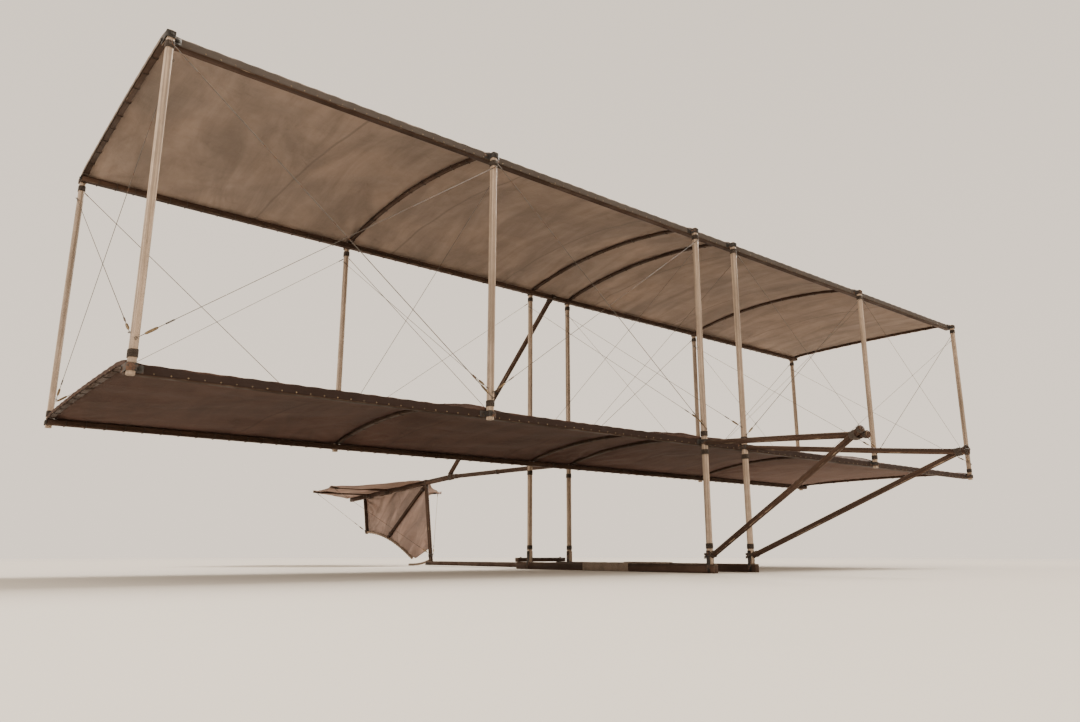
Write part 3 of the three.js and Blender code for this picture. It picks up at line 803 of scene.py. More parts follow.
class GliderStage(bpy.types.PropertyGroup):
    azimuth: FloatProperty(name="Azimuth", description="Degrees that the camera is turned round Z",
                           default=-38.7)
    distance: size_property("Distance", "Distance from the glider's middle to the camera", 5.1, 2, 30)
    height: size_property("Height", "Height of the camera above the floor", 0.09, 0.01, 5)
    lens: FloatProperty(name="Lens", description="Focal length in millimetres", default=27.0, min=10,
                        max=200)
    aim_across: size_property("Aim across", "Sideways aim of the camera", 0.05, -5, 5)
    aim_height: size_property("Aim height", "Height that the camera looks at", 1.3, 0, 5)


# Wing cloths

HEM_FACE = WING_FRONT - 0.0014
TIP_FACE = HALF_SPAN + 0.0006
TIP_FOLD = np.array([0.0008, 0.0045, 0.009, 0.0135])
REAR_EDGE = WING_REAR - 0.0005
BESIDE_RIB = np.array([-0.036, -0.024, -0.016, -0.0115, -0.009, 0, 0.009, 0.0115, 0.016, 0.024, 0.036])
CLOTH_GAP = 0.0008
LEAST_GAP = 0.0003
WAVES = 9
WING_SEEDS = {"lower": 40, "upper": 41}


def ramp(distance, reach):
    """0 at no distance, 1 from a reach on, and straight between."""
    return np.clip(distance / reach, 0, 1)


def arch(y, camber):
    """Height of a circle over the chord, through both its ends and the camber at its middle."""
    radius = (CHORD ** 2 / 4 + camber ** 2) / (2 * camber)
    return np.sqrt(radius ** 2 - (y - WING_MIDDLE) ** 2) + camber - radius


def edge_share(y):
    """0 at the chord's ends and 1 at its middle."""
    return 1 - np.abs(y - WING_MIDDLE) / (CHORD / 2)


def rib_height(y):
    """Thickness of a rib, which thins to about a third over its last 90 mm at each spar."""
    return RIB_HIGH * (0.35 + 0.65 * ramp(CHORD / 2 * edge_share(y), 0.09) ** 0.7)


def fold_fan(dx, dy, folds, reach, phase, start):
    """Folds that fan out of a corner: a cosine of the angle there, which dies away with the distance."""
    distance = np.hypot(dx, dy) + 1e-6
    fade = np.exp(-distance / reach) * ramp(distance, start)
    return np.cos(np.arctan2(dy, dx) * folds + phase) * fade


def corner_fans(x, y, rng):
    """Wrinkles that fan out of each bay's four corners and fade towards the spars, where it is tight."""
    total = np.zeros(np.broadcast(x, y).shape)
    for rib in RIB_X:
        for edge, sign in ((WING_FRONT, 1), (WING_REAR, -1)):
            for facing in (-1, 1):
                dx, dy = (x - rib) * facing, (y - edge) * sign
                inside = ramp(dx, 0.03) * ramp(dy, 0.1) ** 1.3
                wrinkle = fold_fan(dx, dy, folds=rng.uniform(13, 19), reach=rng.uniform(0.22, 0.36),
                                   phase=rng.uniform(0, FULL_TURN), start=0.12)
                total += wrinkle * inside * rng.uniform(0.5, 1)
    return total


def slack_waves(x, y, rng):
    """Low waves of slack cloth: sines of many directions and lengths from 0.12 to 0.5 m."""
    total = np.zeros(np.broadcast(x, y).shape)
    for _ in range(WAVES):
        length, turn, phase = rng.uniform(0.12, 0.5), rng.uniform(-0.6, 0.6), rng.uniform(0, FULL_TURN)
        total += np.sin((x * math.sin(turn) + y * math.cos(turn)) * FULL_TURN / length + phase) * length
    return total / (0.3 * math.sqrt(WAVES))


def cloth_over_ribs(x, y, cloth, rng):
    """Height of a wing's cloth over its spars' tops.

    At a rib it is the rib's arch and thickness. Between two ribs it is their heights in proportion, times
    the hyperbolic cosine of a taut sheet that is pulled flat between the spars. The lift over each rib's
    thickness dies away along the span, quickly near the spars. Fans, puckers and waves are added.
    """
    bay = np.clip(np.searchsorted(RIB_X, x) - 1, 0, len(RIB_X) - 2)
    width = RIB_X[bay + 1] - RIB_X[bay]
    share = ramp(x - RIB_X[bay], width)
    camber = CAMBER[bay] * (1 - share) + CAMBER[bay + 1] * share
    bend = math.pi * width / (CHORD * math.sqrt(cloth.pull))
    slack = np.cosh(bend * (share - 0.5)) / np.cosh(bend / 2)
    height = arch(y, CAMBER.max()) / CAMBER.max() * camber * slack
    edge = edge_share(y)
    inward = edge * CHORD / 2
    fade = 0.009 + 0.43 * edge
    beyond = np.maximum(np.abs(x[..., None] - RIB_X) - RIB_WIDE / 2, 0)
    bare = np.prod(1 - np.exp(-beyond / fade[..., None]), axis=-1)
    near_rib = beyond.min(-1)
    height += rib_height(y) * (1 - bare)
    height += cloth.wrinkle * corner_fans(x, y, rng)
    height += cloth.wrinkle * 0.32 * slack_waves(x, y, rng) * ramp(near_rib, 0.05) * ramp(inward, 0.12)
    rib_tacks = np.cos(y * FULL_TURN / 0.08) * np.exp(-near_rib / 0.03) * ramp(edge, 1 / 8)
    spar_tacks = np.cos(x * FULL_TURN / 0.07) * np.exp(-inward / 0.035) * ramp(near_rib, 0.04)
    return height + cloth.pucker * (rib_tacks + spar_tacks) + CLOTH_GAP


def cloth_top(wing, cloth, x, y):
    """Height of the upper face of a wing's cloth at any place on it."""
    x, y = np.broadcast_arrays(np.asarray(x, float), np.asarray(y, float))
    over = cloth_over_ribs(x, y, cloth, np.random.default_rng(WING_SEEDS[wing]))
    return WING_Z[wing] + over + cloth.thickness


def span_stations(pitch):
    """Places along the span: even between the ribs and closer over each rib."""
    close = (RIB_X[:, None] + BESIDE_RIB).ravel()
    close = close[np.abs(close) < HALF_SPAN - 0.001]
    stretches = [np.linspace(a, b, int((b - a) / pitch) + 1)[1:-1] for a, b in
                 zip(RIB_X[:-1] + BESIDE_RIB[-1], RIB_X[1:] + BESIDE_RIB[0])]
    return np.sort(np.concatenate([close, *stretches]))


def wing_cloth_surface(wing, cloth):
    """A wing's cloth, and its length along the chord.

    It goes from a hem on the front spar's face round a nose, then over the ribs to the rear spar. At each
    tip it turns down over the outer rib. u runs along the span and v along the chord, in metres.
    """
    rng = np.random.default_rng(WING_SEEDS[wing])
    top = WING_Z[wing]
    nose, face_rows, nose_rows, fold_rows = 0.004, 5, 4, len(TIP_FOLD)
    stations = span_stations(cloth.pitch)
    drop = np.concatenate([TIP_FOLD[::-1], np.zeros(len(stations)), TIP_FOLD])
    across = np.concatenate([np.full(fold_rows, -TIP_FACE), stations, np.full(fold_rows, TIP_FACE)])
    back = np.append(np.arange(WING_FRONT + nose, REAR_EDGE, cloth.pitch), REAR_EDGE)
    over = cloth_over_ribs(*np.meshgrid(np.clip(across, -HALF_SPAN, HALF_SPAN), back), cloth, rng)
    hem_z = SPAR[wing]["front"][0][2] - top + 0.0015
    nose_z = over[0] - nose
    down = np.linspace(0, 1, face_rows, endpoint=False)
    turn = np.linspace(0, math.pi / 2, nose_rows)[:-1]
    face = hem_z + (nose_z - hem_z) * down[:, None]
    z = np.concatenate([face, nose_z + nose * np.sin(turn)[:, None], over])
    curve_y = HEM_FACE + (WING_FRONT + nose - HEM_FACE) * (1 - np.cos(turn))
    y = np.concatenate([np.full(face_rows, HEM_FACE), curve_y, back])
    z -= drop * np.append(down, np.ones(len(z) - face_rows))[:, None]
    points = table_of(across, y[:, None], top + z)
    run = lengths_along(points[:, len(across) // 2])
    return grid(points, table_of(across + HALF_SPAN, run[:, None])), run[-1]


def solidify(piece, thickness):
    """Gives a cloth its thickness, upwards from its underside."""
    modifier = piece.modifiers.new("Thickness", "SOLIDIFY")
    modifier.thickness = thickness
    modifier.offset = 1


class GLIDER_OT_wing_cloths(bpy.types.Operator):
    """Stretches a cotton cloth over the ribs of each wing"""

    bl_idname = "glider.wing_cloths"
    bl_label = "Wing cloths"

    def execute(self, context):
        cloth = context.scene.glider_cloth
        for wing in WINGS:
            surface, long = wing_cloth_surface(wing, cloth)
            name = f"{wing}_wing_cotton"
            piece = add_piece(name, surface, f"{wing}_cloth", [f"{wing}_wing_cloth"])
            solidify(piece, cloth.thickness)
            2 * HALF_SPAN + 0.03
        return {"FINISHED"}


# Sticks of the frame

WING_SPARS = [f"{wing}_{row}_spar" for wing in WINGS for row in ROWS]
ARM_BARS = [f"arm_bar_{side}" for side in SIDES]
TAIL_SPARS = [f"tail_{row}_cross_spar" for row in ROWS]
FIN_STICKS = ["fin_front_post", "fin_rear_post", "fin_brace"]
CENTRE_BOOMS = ["upper_centre_boom", "lower_centre_boom"]
LOW_BOOMS = [f"low_boom_{side}" for side in SIDES]
OUTRIGGERS = [f"{level}_outrigger_{side}" for level in WINGS for side in SIDES]
UPRIGHTS = [f"{row}_strut_{side}_{place}" for row in ROWS for side in SIDES for place in ("tip", "middle")]
UPRIGHTS += [f"{row}_post_{side}_centre" for row in ROWS for side in SIDES]


class StickKind(NamedTuple):
    """Sticks that are made alike: looks, slot, power of the section's superellipse, and most bow."""

    finish: str
    slot: str
    power: float
    bow: float
    nodes: list


STICK_KINDS = (
    StickKind("dark_wood", "frame_wood", SQUARE, 0.0,
              WING_SPARS + ARM_BARS + ["rear_cross_bar", "tail_keel"] + TAIL_SPARS),
    StickKind("dark_wood", "frame_wood", SOFT, 0.0022, CENTRE_BOOMS + FIN_STICKS + LOW_BOOMS),
    StickKind("dark_wood", "frame_wood", ROUND, 0.0035, OUTRIGGERS),
    StickKind("pale_wood", "upright_wood", OVAL, 0.0009, UPRIGHTS),
)


def stick_of(node):
    """A stick whose section's first direction is sideways, or upward where it runs from side to side."""
    return Stick(node, Z if node in WING_SPARS + TAIL_SPARS + ["rear_cross_bar"] else X)


class GLIDER_OT_sticks(bpy.types.Operator):
    """Rounds the corners of every straight stick and gives it grain that runs along it"""

    bl_idname = "glider.sticks"
    bl_label = "Sticks"

    def execute(self, context):
        for kind in STICK_KINDS:
            for number, node in enumerate(kind.nodes):
                surface = stick_surface(stick_of(node), kind.power, kind.bow * math.sin(number * 2.4 + 1))
                surface.quad_uv[..., 0] += number * 3.1
                add_piece(f"{node}_wood", surface, kind.finish, [node])
        return {"FINISHED"}


RIB_ROWS = 60
RIB_COLUMNS = 16
RIB_POWER = 5.0


def rib_surface(wing, x, camber):
    """A bent rib: a superellipse carried along the arch, from the front spar to the rear one."""
    y = np.linspace(WING_FRONT + 0.001, WING_REAR - 0.001, RIB_ROWS)[:, None]
    high = rib_height(y)
    centre = WING_Z[wing] + np.maximum(arch(y, camber), LEAST_GAP) + high / 2
    cos, sin, corner = ring_of(RIB_COLUMNS, RIB_POWER)
    shrink = np.ones((RIB_ROWS, 1))
    shrink[[0, -1]] = 0.85
    points = table_of(x - RIB_WIDE / 2 * cos * shrink, y, centre + high / 2 * shrink * sin)
    around = np.arange(RIB_COLUMNS + 1) / RIB_COLUMNS * 2 * (RIB_WIDE + RIB_HIGH)
    mask = np.broadcast_to(corner, (RIB_ROWS, RIB_COLUMNS))
    return grid(points, table_of(y - y[0], around), around=True, caps=True, mask=mask)


class GLIDER_OT_ribs(bpy.types.Operator):
    """Bends a rib between the spars at each station of both wings"""

    bl_idname = "glider.ribs"
    bl_label = "Ribs"

    def execute(self, context):
        for wing in WINGS:
            for number, station in enumerate(STATIONS):
                node = f"{wing}_rib_{station}"
                surface = rib_surface(wing, RIB_X[number], CAMBER[number])
                surface.quad_uv[..., 0] += number * 2.3
                add_piece(f"{node}_wood", surface, "dark_wood", [node])
        return {"FINISHED"}


class GLIDER_OT_other_nodes(bpy.types.Operator):
    """Gives the parts that stay as they are their own finish"""

    bl_idname = "glider.other_nodes"
    bl_label = "Stays and canes"

    def execute(self, context):
        for name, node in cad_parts.items():
            bent = "cane" in name or "skid" in name
            finish = "wire" if "stay" in name else "cane" if bent else "tail_cloth"
            node.data.materials.clear()
            node.data.materials.append(FINISHES[finish])
        return {"FINISHED"}


# Tail, fin and skid

def outline(node, toward):
    """The corners of a flat node's outline on one side of it."""
    points = points_of(node)
    reach = points @ toward
    return np.unique(points[reach > reach.max() - SAME_PLACE].round(6), axis=0)


def bent_path(node):
    """Centre line of a bent cane: its outermost corners lie in pairs, one over the other, on each ring."""
    side = outline(node, X)
    side = side[np.argsort(side[:, 1])]
    rings = np.split(side, np.nonzero(np.diff(side[:, 1]) > 0.006)[0] + 1)
    return np.array([ring.mean(0) for ring in rings]) * (Y + Z)


def points_along(path, shares):
    """The points of a line at some shares of its length."""
    run = lengths_along(path)
    return np.stack([np.interp(shares * run[-1], run, numbers) for numbers in path.T], 1)


def even_path(path, pitch):
    """The same path with points at an even pitch, smoothed by a running mean that keeps its ends."""
    even = points_along(path, np.linspace(0, 1, max(3, int(lengths_along(path)[-1] / pitch) + 1)))
    for _ in range(4):
        even[1:-1] = even[1:-1] / 2 + (even[:-2] + even[2:]) / 4
    return even


HEM = 0.0026
TAIL_COLUMNS = 91
FIN_COLUMNS = 96
FIN_ROWS = 60
ON_STICK = 0.0009
KEEL = Stick("tail_keel")
TAIL_UP = np.cross(X, KEEL.axis)
FIN_FACE = box("fin_front_post")[1][0]


class GLIDER_OT_tail_cloth(bpy.types.Operator):
    """Stretches the tail's cloth over the keel and the two cross spars"""

    bl_idname = "glider.tail_cloth"
    bl_label = "Tail cloth"

    def execute(self, context):
        cloth = context.scene.glider_cloth
        surface, flat, area = self.surface(cloth)
        piece = add_piece("tail_cotton", surface, "tail_cloth", ["tail_cloth"])
        points = surface.points.reshape(-1, TAIL_COLUMNS, 3) + TAIL_UP * cloth.thickness / 2
        hems = [tube(points[:, side], HEM, Z, columns=8) for side in (0, -1)]
        add_piece("tail_hems", joined(hems), "tail_cloth")
        solidify(piece, cloth.thickness)
        return {"FINISHED"}

    def surface(self, cloth):
        """A six-sided cloth, row by row along the keel, with its flat size and area.

        Its half width runs straight from each corner to the next, and its free edges are hollowed by a
        half sine. Away from the sticks it sinks by a dying exponential, with folds that fan from corners.
        """
        rng = np.random.default_rng(71)
        (_, apex, _), (half, end, _) = box("tail_cloth")
        corners = outline("tail_cloth", TAIL_UP)
        sides = corners[corners[:, 0] > half - SAME_PLACE, 1]
        front, rear = sides.min(), sides.max()
        rows = np.concatenate([np.linspace(apex, front, 48), np.linspace(front, rear, 30)[1:],
                               np.linspace(rear, end, 36)[1:]])
        width = np.interp(rows, [apex, front, rear, end], [0.014, half, half, 0.014])
        width -= np.sin(ramp(rows - apex, front - apex) * math.pi) * 0.016
        width -= np.sin(ramp(rows - rear, end - rear) * math.pi) * 0.012
        x = width[:, None] * np.linspace(-1, 1, TAIL_COLUMNS)
        y = np.broadcast_to(rows[:, None], x.shape)
        spars = [np.abs(y - middle(node)[1]) for node in TAIL_SPARS]
        off_keel = np.maximum(np.abs(x) - KEEL.wide / 2, 0)
        off_spars = np.maximum(np.min(spars, 0) - 0.012, 0)
        off = np.minimum(off_keel, off_spars)
        folds = np.zeros(x.shape)
        for cx, cy in ((0, apex), (half, front), (-half, front), (half, rear), (-half, rear), (0, end)):
            folds += fold_fan(x - cx, y - cy, reach=rng.uniform(0.2, 0.34), folds=rng.uniform(11, 16),
                              phase=rng.uniform(0, FULL_TURN), start=0.07)
        gather = 1 - np.exp(-off / 0.022)
        tacks = np.cos(np.where(off_keel < off_spars, y, x) * FULL_TURN / 0.05) * np.exp(-off / 0.02)
        rise = 0.018 * (np.exp(-off / 0.11) - 1)
        rise += cloth.wrinkle * (1.7 * folds + 0.7 * slack_waves(x, y, rng)) * gather
        rise += cloth.pucker * tacks * ramp(off, 0.004)
        rise = np.where(off > 0, rise, np.maximum(rise, 0)) + ON_STICK
        keel_y, keel_z = np.array([KEEL.start, KEEL.end]).T[1:]
        slope = KEEL.axis[2] / KEEL.axis[1]
        plane = np.interp(rows, keel_y, keel_z)[:, None] + KEEL.deep / 2
        points = np.stack([x, y - rise * slope, plane + rise], 2)
        area = float(np.trapz(2 * width, rows))
        return grid(points, np.stack([x + half, y - apex], 2)), (2 * half, end - apex), area


class GLIDER_OT_fin_cloth(bpy.types.Operator):
    """Stretches the fin's cloth over the left faces of its sticks, down to the bent cane"""

    bl_idname = "glider.fin_cloth"
    bl_label = "Fin cloth"

    def execute(self, context):
        cloth = context.scene.glider_cloth
        surface, flat, area = self.surface(cloth)
        piece = add_piece("fin_cotton", surface, "tail_cloth", ["fin_cloth"])
        points = surface.points.reshape(-1, FIN_COLUMNS, 3) + X * cloth.thickness / 2
        hems = [tube(edge, HEM * 0.8, X, columns=8) for edge in (points[0], points[:, 0], points[:, -1])]
        add_piece("fin_hems", joined(hems), "tail_cloth")
        solidify(piece, cloth.thickness)
        return {"FINISHED"}

    def surface(self, cloth):
        """Straight rules from the lower edge up to the keel, at the same share of both, with size and area.

        Between the sticks the cloth leans in and out by waves, by folds that fan from its four corners and
        by broad folds that run along the brace: cosines of the distance across it, which come and go.
        """
        rng = np.random.default_rng(83)
        corners = outline("fin_cloth", X)
        corners = corners[np.argsort(corners[:, 1])]
        at_keel = corners[:, 2] > corners[:, 2].max() - 0.06
        top, low = corners[at_keel], corners[~at_keel]
        share = np.linspace(0, 1, FIN_COLUMNS)
        up = np.linspace(0, 1, FIN_ROWS)[:, None]
        below = points_along(low, share)
        above = top[0] + (top[-1] - top[0]) * share[:, None]
        _, y, z = np.moveaxis(below * (1 - up[..., None]) + above * up[..., None], 2, 0)
        off = np.full(y.shape, np.inf)
        for node, half in zip(FIN_STICKS, (0.014, 0.01, 0.01)):
            off = np.minimum(off, np.maximum(np.abs(self.beside(Stick(node), y, z)) - half, 0))
        folds = np.zeros(y.shape)
        for _, cy, cz in (low[0], low[-1], top[0], top[-1]):
            folds += fold_fan(y - cy, z - cz, reach=rng.uniform(0.2, 0.32), folds=rng.uniform(12, 17),
                              phase=rng.uniform(0, FULL_TURN), start=0.06)
        gather = 1 - np.exp(-off / 0.025)
        brace = Stick("fin_brace")
        along = y * brace.axis[1] + z * brace.axis[2]
        broad = np.cos(self.beside(brace, y, z) * FULL_TURN / 0.125 + 1.4 * np.sin(along * 7))
        broad *= 0.65 + 0.35 * np.sin(along * 11 + 2)
        lean = cloth.wrinkle * (1.2 * folds + 0.7 * slack_waves(y, z, rng) + 1.5 * broad)
        lean -= 0.002 * 16 * share * (1 - share) * up * (1 - up)
        lean -= 0.0025 * np.exp(-up / 0.05) * ramp(share - 0.3, 0.1)
        lean *= gather
        lean = np.where(off > 0, lean, np.maximum(lean, 0))
        points = np.stack([FIN_FACE + ON_STICK + lean, y, z], 2)
        area = float(np.trapz(above[:, 2] - below[:, 2], (above[:, 1] + below[:, 1]) / 2))
        flat = (float(np.ptp(y)), float(np.ptp(z)))
        return grid(points, np.stack([y - y.min(), z - z.min()], 2)), flat, area

    def beside(self, stick, y, z):
        """Distance from a stick's centre line, seen from the side, with a sign."""
        _, along_y, along_z = unit(stick.axis * (Y + Z))
        return (y - stick.start[1]) * along_z - (z - stick.start[2]) * along_y


class GLIDER_OT_canes(bpy.types.Operator):
    """Bends the fin's lower cane and the skid"""

    bl_idname = "glider.canes"
    bl_label = "Bent canes"

    def execute(self, context):
        for node in ("fin_lower_cane", "tail_skid"):
            path = even_path(bent_path(node), 0.02)
            low, high = box(node)
            radius = (high[0] - low[0]) / 2 / math.cos(math.pi / 10)
            surface = tube(path, radius, X, columns=16, around=FULL_TURN * radius)
            add_piece(f"{node}_bent", surface, "cane", [node])
            if node == "fin_lower_cane":
                tie = ring_surface(radius + CORD * 0.4, CORD * 0.4, 14, 5)
                ties = copies(tie, path[2:-2:2], path[3:-1:2] - path[1:-3:2])
                add_piece("cane_ties", ties, "cord")
        return {"FINISHED"}


# Bindings, lacing and tapes

LAID = 1.05
SADDLE_TURNS = 4
TIP_BINDING, TIP_BINDING_HALF = 0.045, 0.013
TIP_WIDE, TIP_DEEP = 0.026, 0.031
STANDING = {node: stick_of(node) for node in UPRIGHTS}


class GLIDER_OT_strut_bindings(bpy.types.Operator):
    """Winds tarred cord round both ends of every upright, where it meets a spar"""

    bl_idname = "glider.strut_bindings"
    bl_label = "Strut bindings"

    def execute(self, context):
        wound = []
        for node, stick in STANDING.items():
            heights = [WING_Z["upper"] - 0.062, WING_Z["lower"] + 0.012]
            if "post" in node:
                heights += [WING_Z["lower"] - 0.075, stick.start[2] + 0.07]
            wound += [winding(stick, height - stick.start[2], 9) for height in heights]
        add_piece("strut_bindings", joined(wound), "cord")
        return {"FINISHED"}


def rib_loops(wing, cloth, places, cord, rise):
    """Closed cords round each rib at some places along it, which go over the cloth above the rib."""
    loops = []
    side = (RIB_WIDE + cord) / 2
    for x, camber in zip(RIB_X, CAMBER):
        low = WING_Z[wing] + np.maximum(arch(places, camber), LEAST_GAP) - cord / 2
        high = cloth_top(wing, cloth, x, places) + rise
        for y, under, over in zip(places, low, high):
            across = [x - side, x + side, x + side, x - side]
            loops.append(cord_loop(table_of(across, y, [under, under, over, over]), Y, cord=cord))
    return loops


class GLIDER_OT_rib_ties(bpy.types.Operator):
    """Ties the cloth to each rib with loops of cord, and binds the rib's ends beside the spars"""

    bl_idname = "glider.rib_ties"
    bl_label = "Rib ties"

    def execute(self, context):
        cloth = context.scene.glider_cloth
        ties = np.linspace(WING_FRONT + 0.17, WING_REAR - 0.16, 9)
        pairs = np.concatenate([ties, ties + 0.004])
        close = np.arange(6) * CORD * WINDING_PITCH
        ends = np.concatenate([WING_FRONT + 0.042 + close, WING_REAR - 0.052 + close])
        for wing in WINGS:
            loops = rib_loops(wing, cloth, pairs, 0.0018, 0.0008)
            loops += rib_loops(wing, cloth, ends, CORD, -cloth.thickness)
            add_piece(f"{wing}_rib_ties", joined(loops), "cord")
        return {"FINISHED"}


class GLIDER_OT_rib_tapes(bpy.types.Operator):
    """Lays a cotton tape over the cloth along each rib"""

    bl_idname = "glider.rib_tapes"
    bl_label = "Rib tapes"

    def execute(self, context):
        cloth = context.scene.glider_cloth
        half_tape, rows, columns, lift = 0.017, 90, 9, 0.0005
        y = np.linspace(WING_FRONT + 0.004, WING_REAR - 0.001, rows)[:, None]
        for wing in WINGS:
            tapes = []
            for x in RIB_X:
                to_tip = HALF_SPAN - abs(x)
                across = np.linspace(-1, 1, columns) * min(half_tape, to_tip)
                waver = 0.0008 * np.sin(y * 61 + x * 9) * (to_tip > 0.02)
                tape_x = x + across + waver
                points = table_of(tape_x, y, cloth_top(wing, cloth, tape_x, y) + lift)
                tapes.append(grid(points, table_of(across + 1, y - WING_FRONT)))
            piece = add_piece(f"{wing}_rib_tapes", joined(tapes), f"{wing}_tape")
            solidify(piece, 0.0006)
        return {"FINISHED"}


class GLIDER_OT_rear_lacing(bpy.types.Operator):
    """Laces the rear hem of each wing to its spar through brass eyelets"""

    bl_idname = "glider.rear_lacing"
    bl_label = "Rear lacing"

    def execute(self, context):
        cloth = context.scene.glider_cloth
        places = np.arange(-HALF_SPAN + 0.06, HALF_SPAN - 0.05, 0.0745)
        places = places[np.abs(places[:, None] - RIB_X).min(1) > 0.04]
        r = CORD / 2
        for wing in WINGS:
            (_, front, under), (_, rear, over) = SPAR[wing]["rear"]
            eyelet_y, tuck = rear - 0.014, over - 0.003
            lift = cloth_top(wing, cloth, places, eyelet_y)
            edge = cloth_top(wing, cloth, places, rear)
            loops = []
            for x, top, rim_top in zip(places, lift, edge):
                corners = [
                    (x, eyelet_y, top + r),
                    (x, rear + r, rim_top + r),
                    (x + 0.004, rear + r, under - r),
                    (x + 0.007, front - r, under - r),
                    (x + 0.007, front - r, tuck),
                    (x + 0.004, eyelet_y - 0.008, tuck),
                ]
                loops.append(cord_loop(corners, X))
            line_x = np.linspace(places[0], places[-1], 700)
            line = table_of(line_x, eyelet_y, cloth_top(wing, cloth, line_x, eyelet_y) + r)
            loops.append(tube(line, r, Y, columns=5))
            add_piece(f"{wing}_rear_lacing", joined(loops), "cord")
            eyes = copies(ring_surface(0.0042, 0.0011), table_of(places, eyelet_y, lift + 0.0006), Z)
            add_piece(f"{wing}_hem_eyelets", eyes, "brass")
        return {"FINISHED"}


def ring_surface(radius, thickness, columns=16, around=6):
    """A ring in the plane square to Z: a small circle carried round a large one."""
    turn = np.arange(columns) / columns * FULL_TURN
    circle = table_of(radius * np.cos(turn), radius * np.sin(turn), 0.0)
    return tube(circle, thickness, Z, around, closed=True)


def saddle(host, end, away, half, reach=0.016, proud=0.0):
    """Closed cords that hold the end of one stick against another, half of them over it and half under it.

    Each goes round the back of the host stick and across the butted one a little way out from its end.
    """
    across = unit(np.cross(host.axis, away))
    outward = unit(away - host.axis * (away @ host.axis))
    lift = unit(host.axis - away * (host.axis @ away))

    def half_size(direction):
        wide, deep = abs(direction @ host.side) * host.wide, abs(direction @ host.third) * host.deep
        return (wide + deep + CORD) / 2 + proud

    centre = host.along((end - host.start) @ host.axis)
    loops = []
    for sign in (1, -1):
        for number in range(SADDLE_TURNS):
            shift = (number + 0.5) * CORD * LAID
            back = centre - outward * half_size(outward) - host.axis * sign * (shift + half * 0.2)
            front = end + away * (reach + shift) + lift * sign * (half + CORD / 2)
            aside, narrow = across * half_size(across), across * half * 0.6
            corners = [back - aside, back + aside, front + narrow, front - narrow]
            loops.append(cord_loop(corners, np.cross(across, front - back), 0.005))
    return loops


class GLIDER_OT_lashings(bpy.types.Operator):
    """Lashes the outriggers, the booms and the tail's sticks where they meet"""

    bl_idname = "glider.lashings"
    bl_label = "Lashings"

    def execute(self, context):
        loops = self.outriggers() + self.booms() + self.tail()
        add_piece("lashings", joined(loops), "cord")
        return {"FINISHED"}

    def outriggers(self):
        """Each pair of outriggers is lashed to its post, and its tips are bound together as one stick."""
        loops = []
        for side in SIDES:
            post = STANDING[f"front_post_{side}_centre"]
            sticks = [stick_of(f"{level}_outrigger_{side}") for level in WINGS]
            for stick in sticks:
                root, away = stick.nearer_end(post.at(0.5))
                loops += saddle(post, root, away, stick.wide / 2, proud=CORD)
                loops.append(winding(stick, 0.004, 5, ROUND))
            lower, upper = [stick.along(TIP_BINDING) for stick in sticks]
            side_way = unit(lower - upper)
            both = sticks[0].axis + sticks[1].axis
            axis = unit(both - side_way * (both @ side_way))
            third = np.cross(axis, side_way)
            wide = np.linalg.norm(lower - upper) + TIP_WIDE
            pair = SimpleNamespace(start=(lower + upper) / 2, axis=axis, side=side_way, third=third,
                                   wide=wide, deep=TIP_DEEP)
            loops.append(winding(pair, -TIP_BINDING_HALF, 10, power=2.6, steps=24))
        return loops

    def booms(self):
        """The centre booms meet the rear spars and the keel."""
        loops = []
        booms = {wing: stick_of(f"{wing}_centre_boom") for wing in WINGS}
        for wing, boom in booms.items():
            spar = stick_of(f"{wing}_rear_spar")
            loops += saddle(spar, *boom.nearer_end(spar.at(0.5)), boom.deep / 2, 0.02)
            loops.append(winding(boom, boom.length / 2, 6))
        upper, lower = booms["upper"], booms["lower"]
        loops += saddle(KEEL, *upper.nearer_end(KEEL.start), upper.deep / 2, 0.03)
        loops.append(winding(KEEL, 0.006, 12, SQUARE))
        loops.append(winding(lower, lower.length - 0.05, 12, SOFT))
        return loops

    def tail(self):
        """The cross spars and the fin's sticks are lashed to the keel, and the fin's foot to the booms."""
        loops = []
        keel_cover = (TAIL_UP, KEEL.start @ TAIL_UP + KEEL.deep / 2)
        fin_cover = (X, FIN_FACE)
        for row, foot in (("front", 0.055), ("rear", 0.01)):
            spar, post = stick_of(f"tail_{row}_cross_spar"), stick_of(f"fin_{row}_post")
            spar_cover = (TAIL_UP, spar.start @ TAIL_UP + spar.wide / 2)
            crossing = (spar.at(0.5) - KEEL.start) @ KEEL.axis
            for place in (crossing - 0.033, crossing + 0.014):
                loops.append(winding(KEEL, place, 7, SQUARE, grow=0.0016, cover=keel_cover))
            loops += saddle(KEEL, *post.nearer_end(KEEL.at(0.5)), post.deep / 2, proud=0.0018)
            loops.append(winding(post, foot, 8, SOFT, grow=0.0006, cover=fin_cover))
            for place in (spar.length * 0.04, spar.length * 0.93):
                loops.append(winding(spar, place, 6, power=5.0, grow=0.0012, cover=spar_cover))
        brace = stick_of("fin_brace")
        for place in (0.02, brace.length - 0.06):
            loops.append(winding(brace, place, 7, SOFT, grow=0.0012, cover=fin_cover))
        foot_y = stick_of("fin_front_post").start[1]
        half = box("low_boom_left")[0][0] + 0.03
        x = [-half - 0.007, half + 0.007, half, -half]
        y = foot_y + np.array([-0.045, -0.045, 0.017, 0.017])
        for z in 0.0085 + np.arange(6) * CORD * LAID:
            loops.append(cord_loop(table_of(x, y, z), Z, 0.008))
        return loops


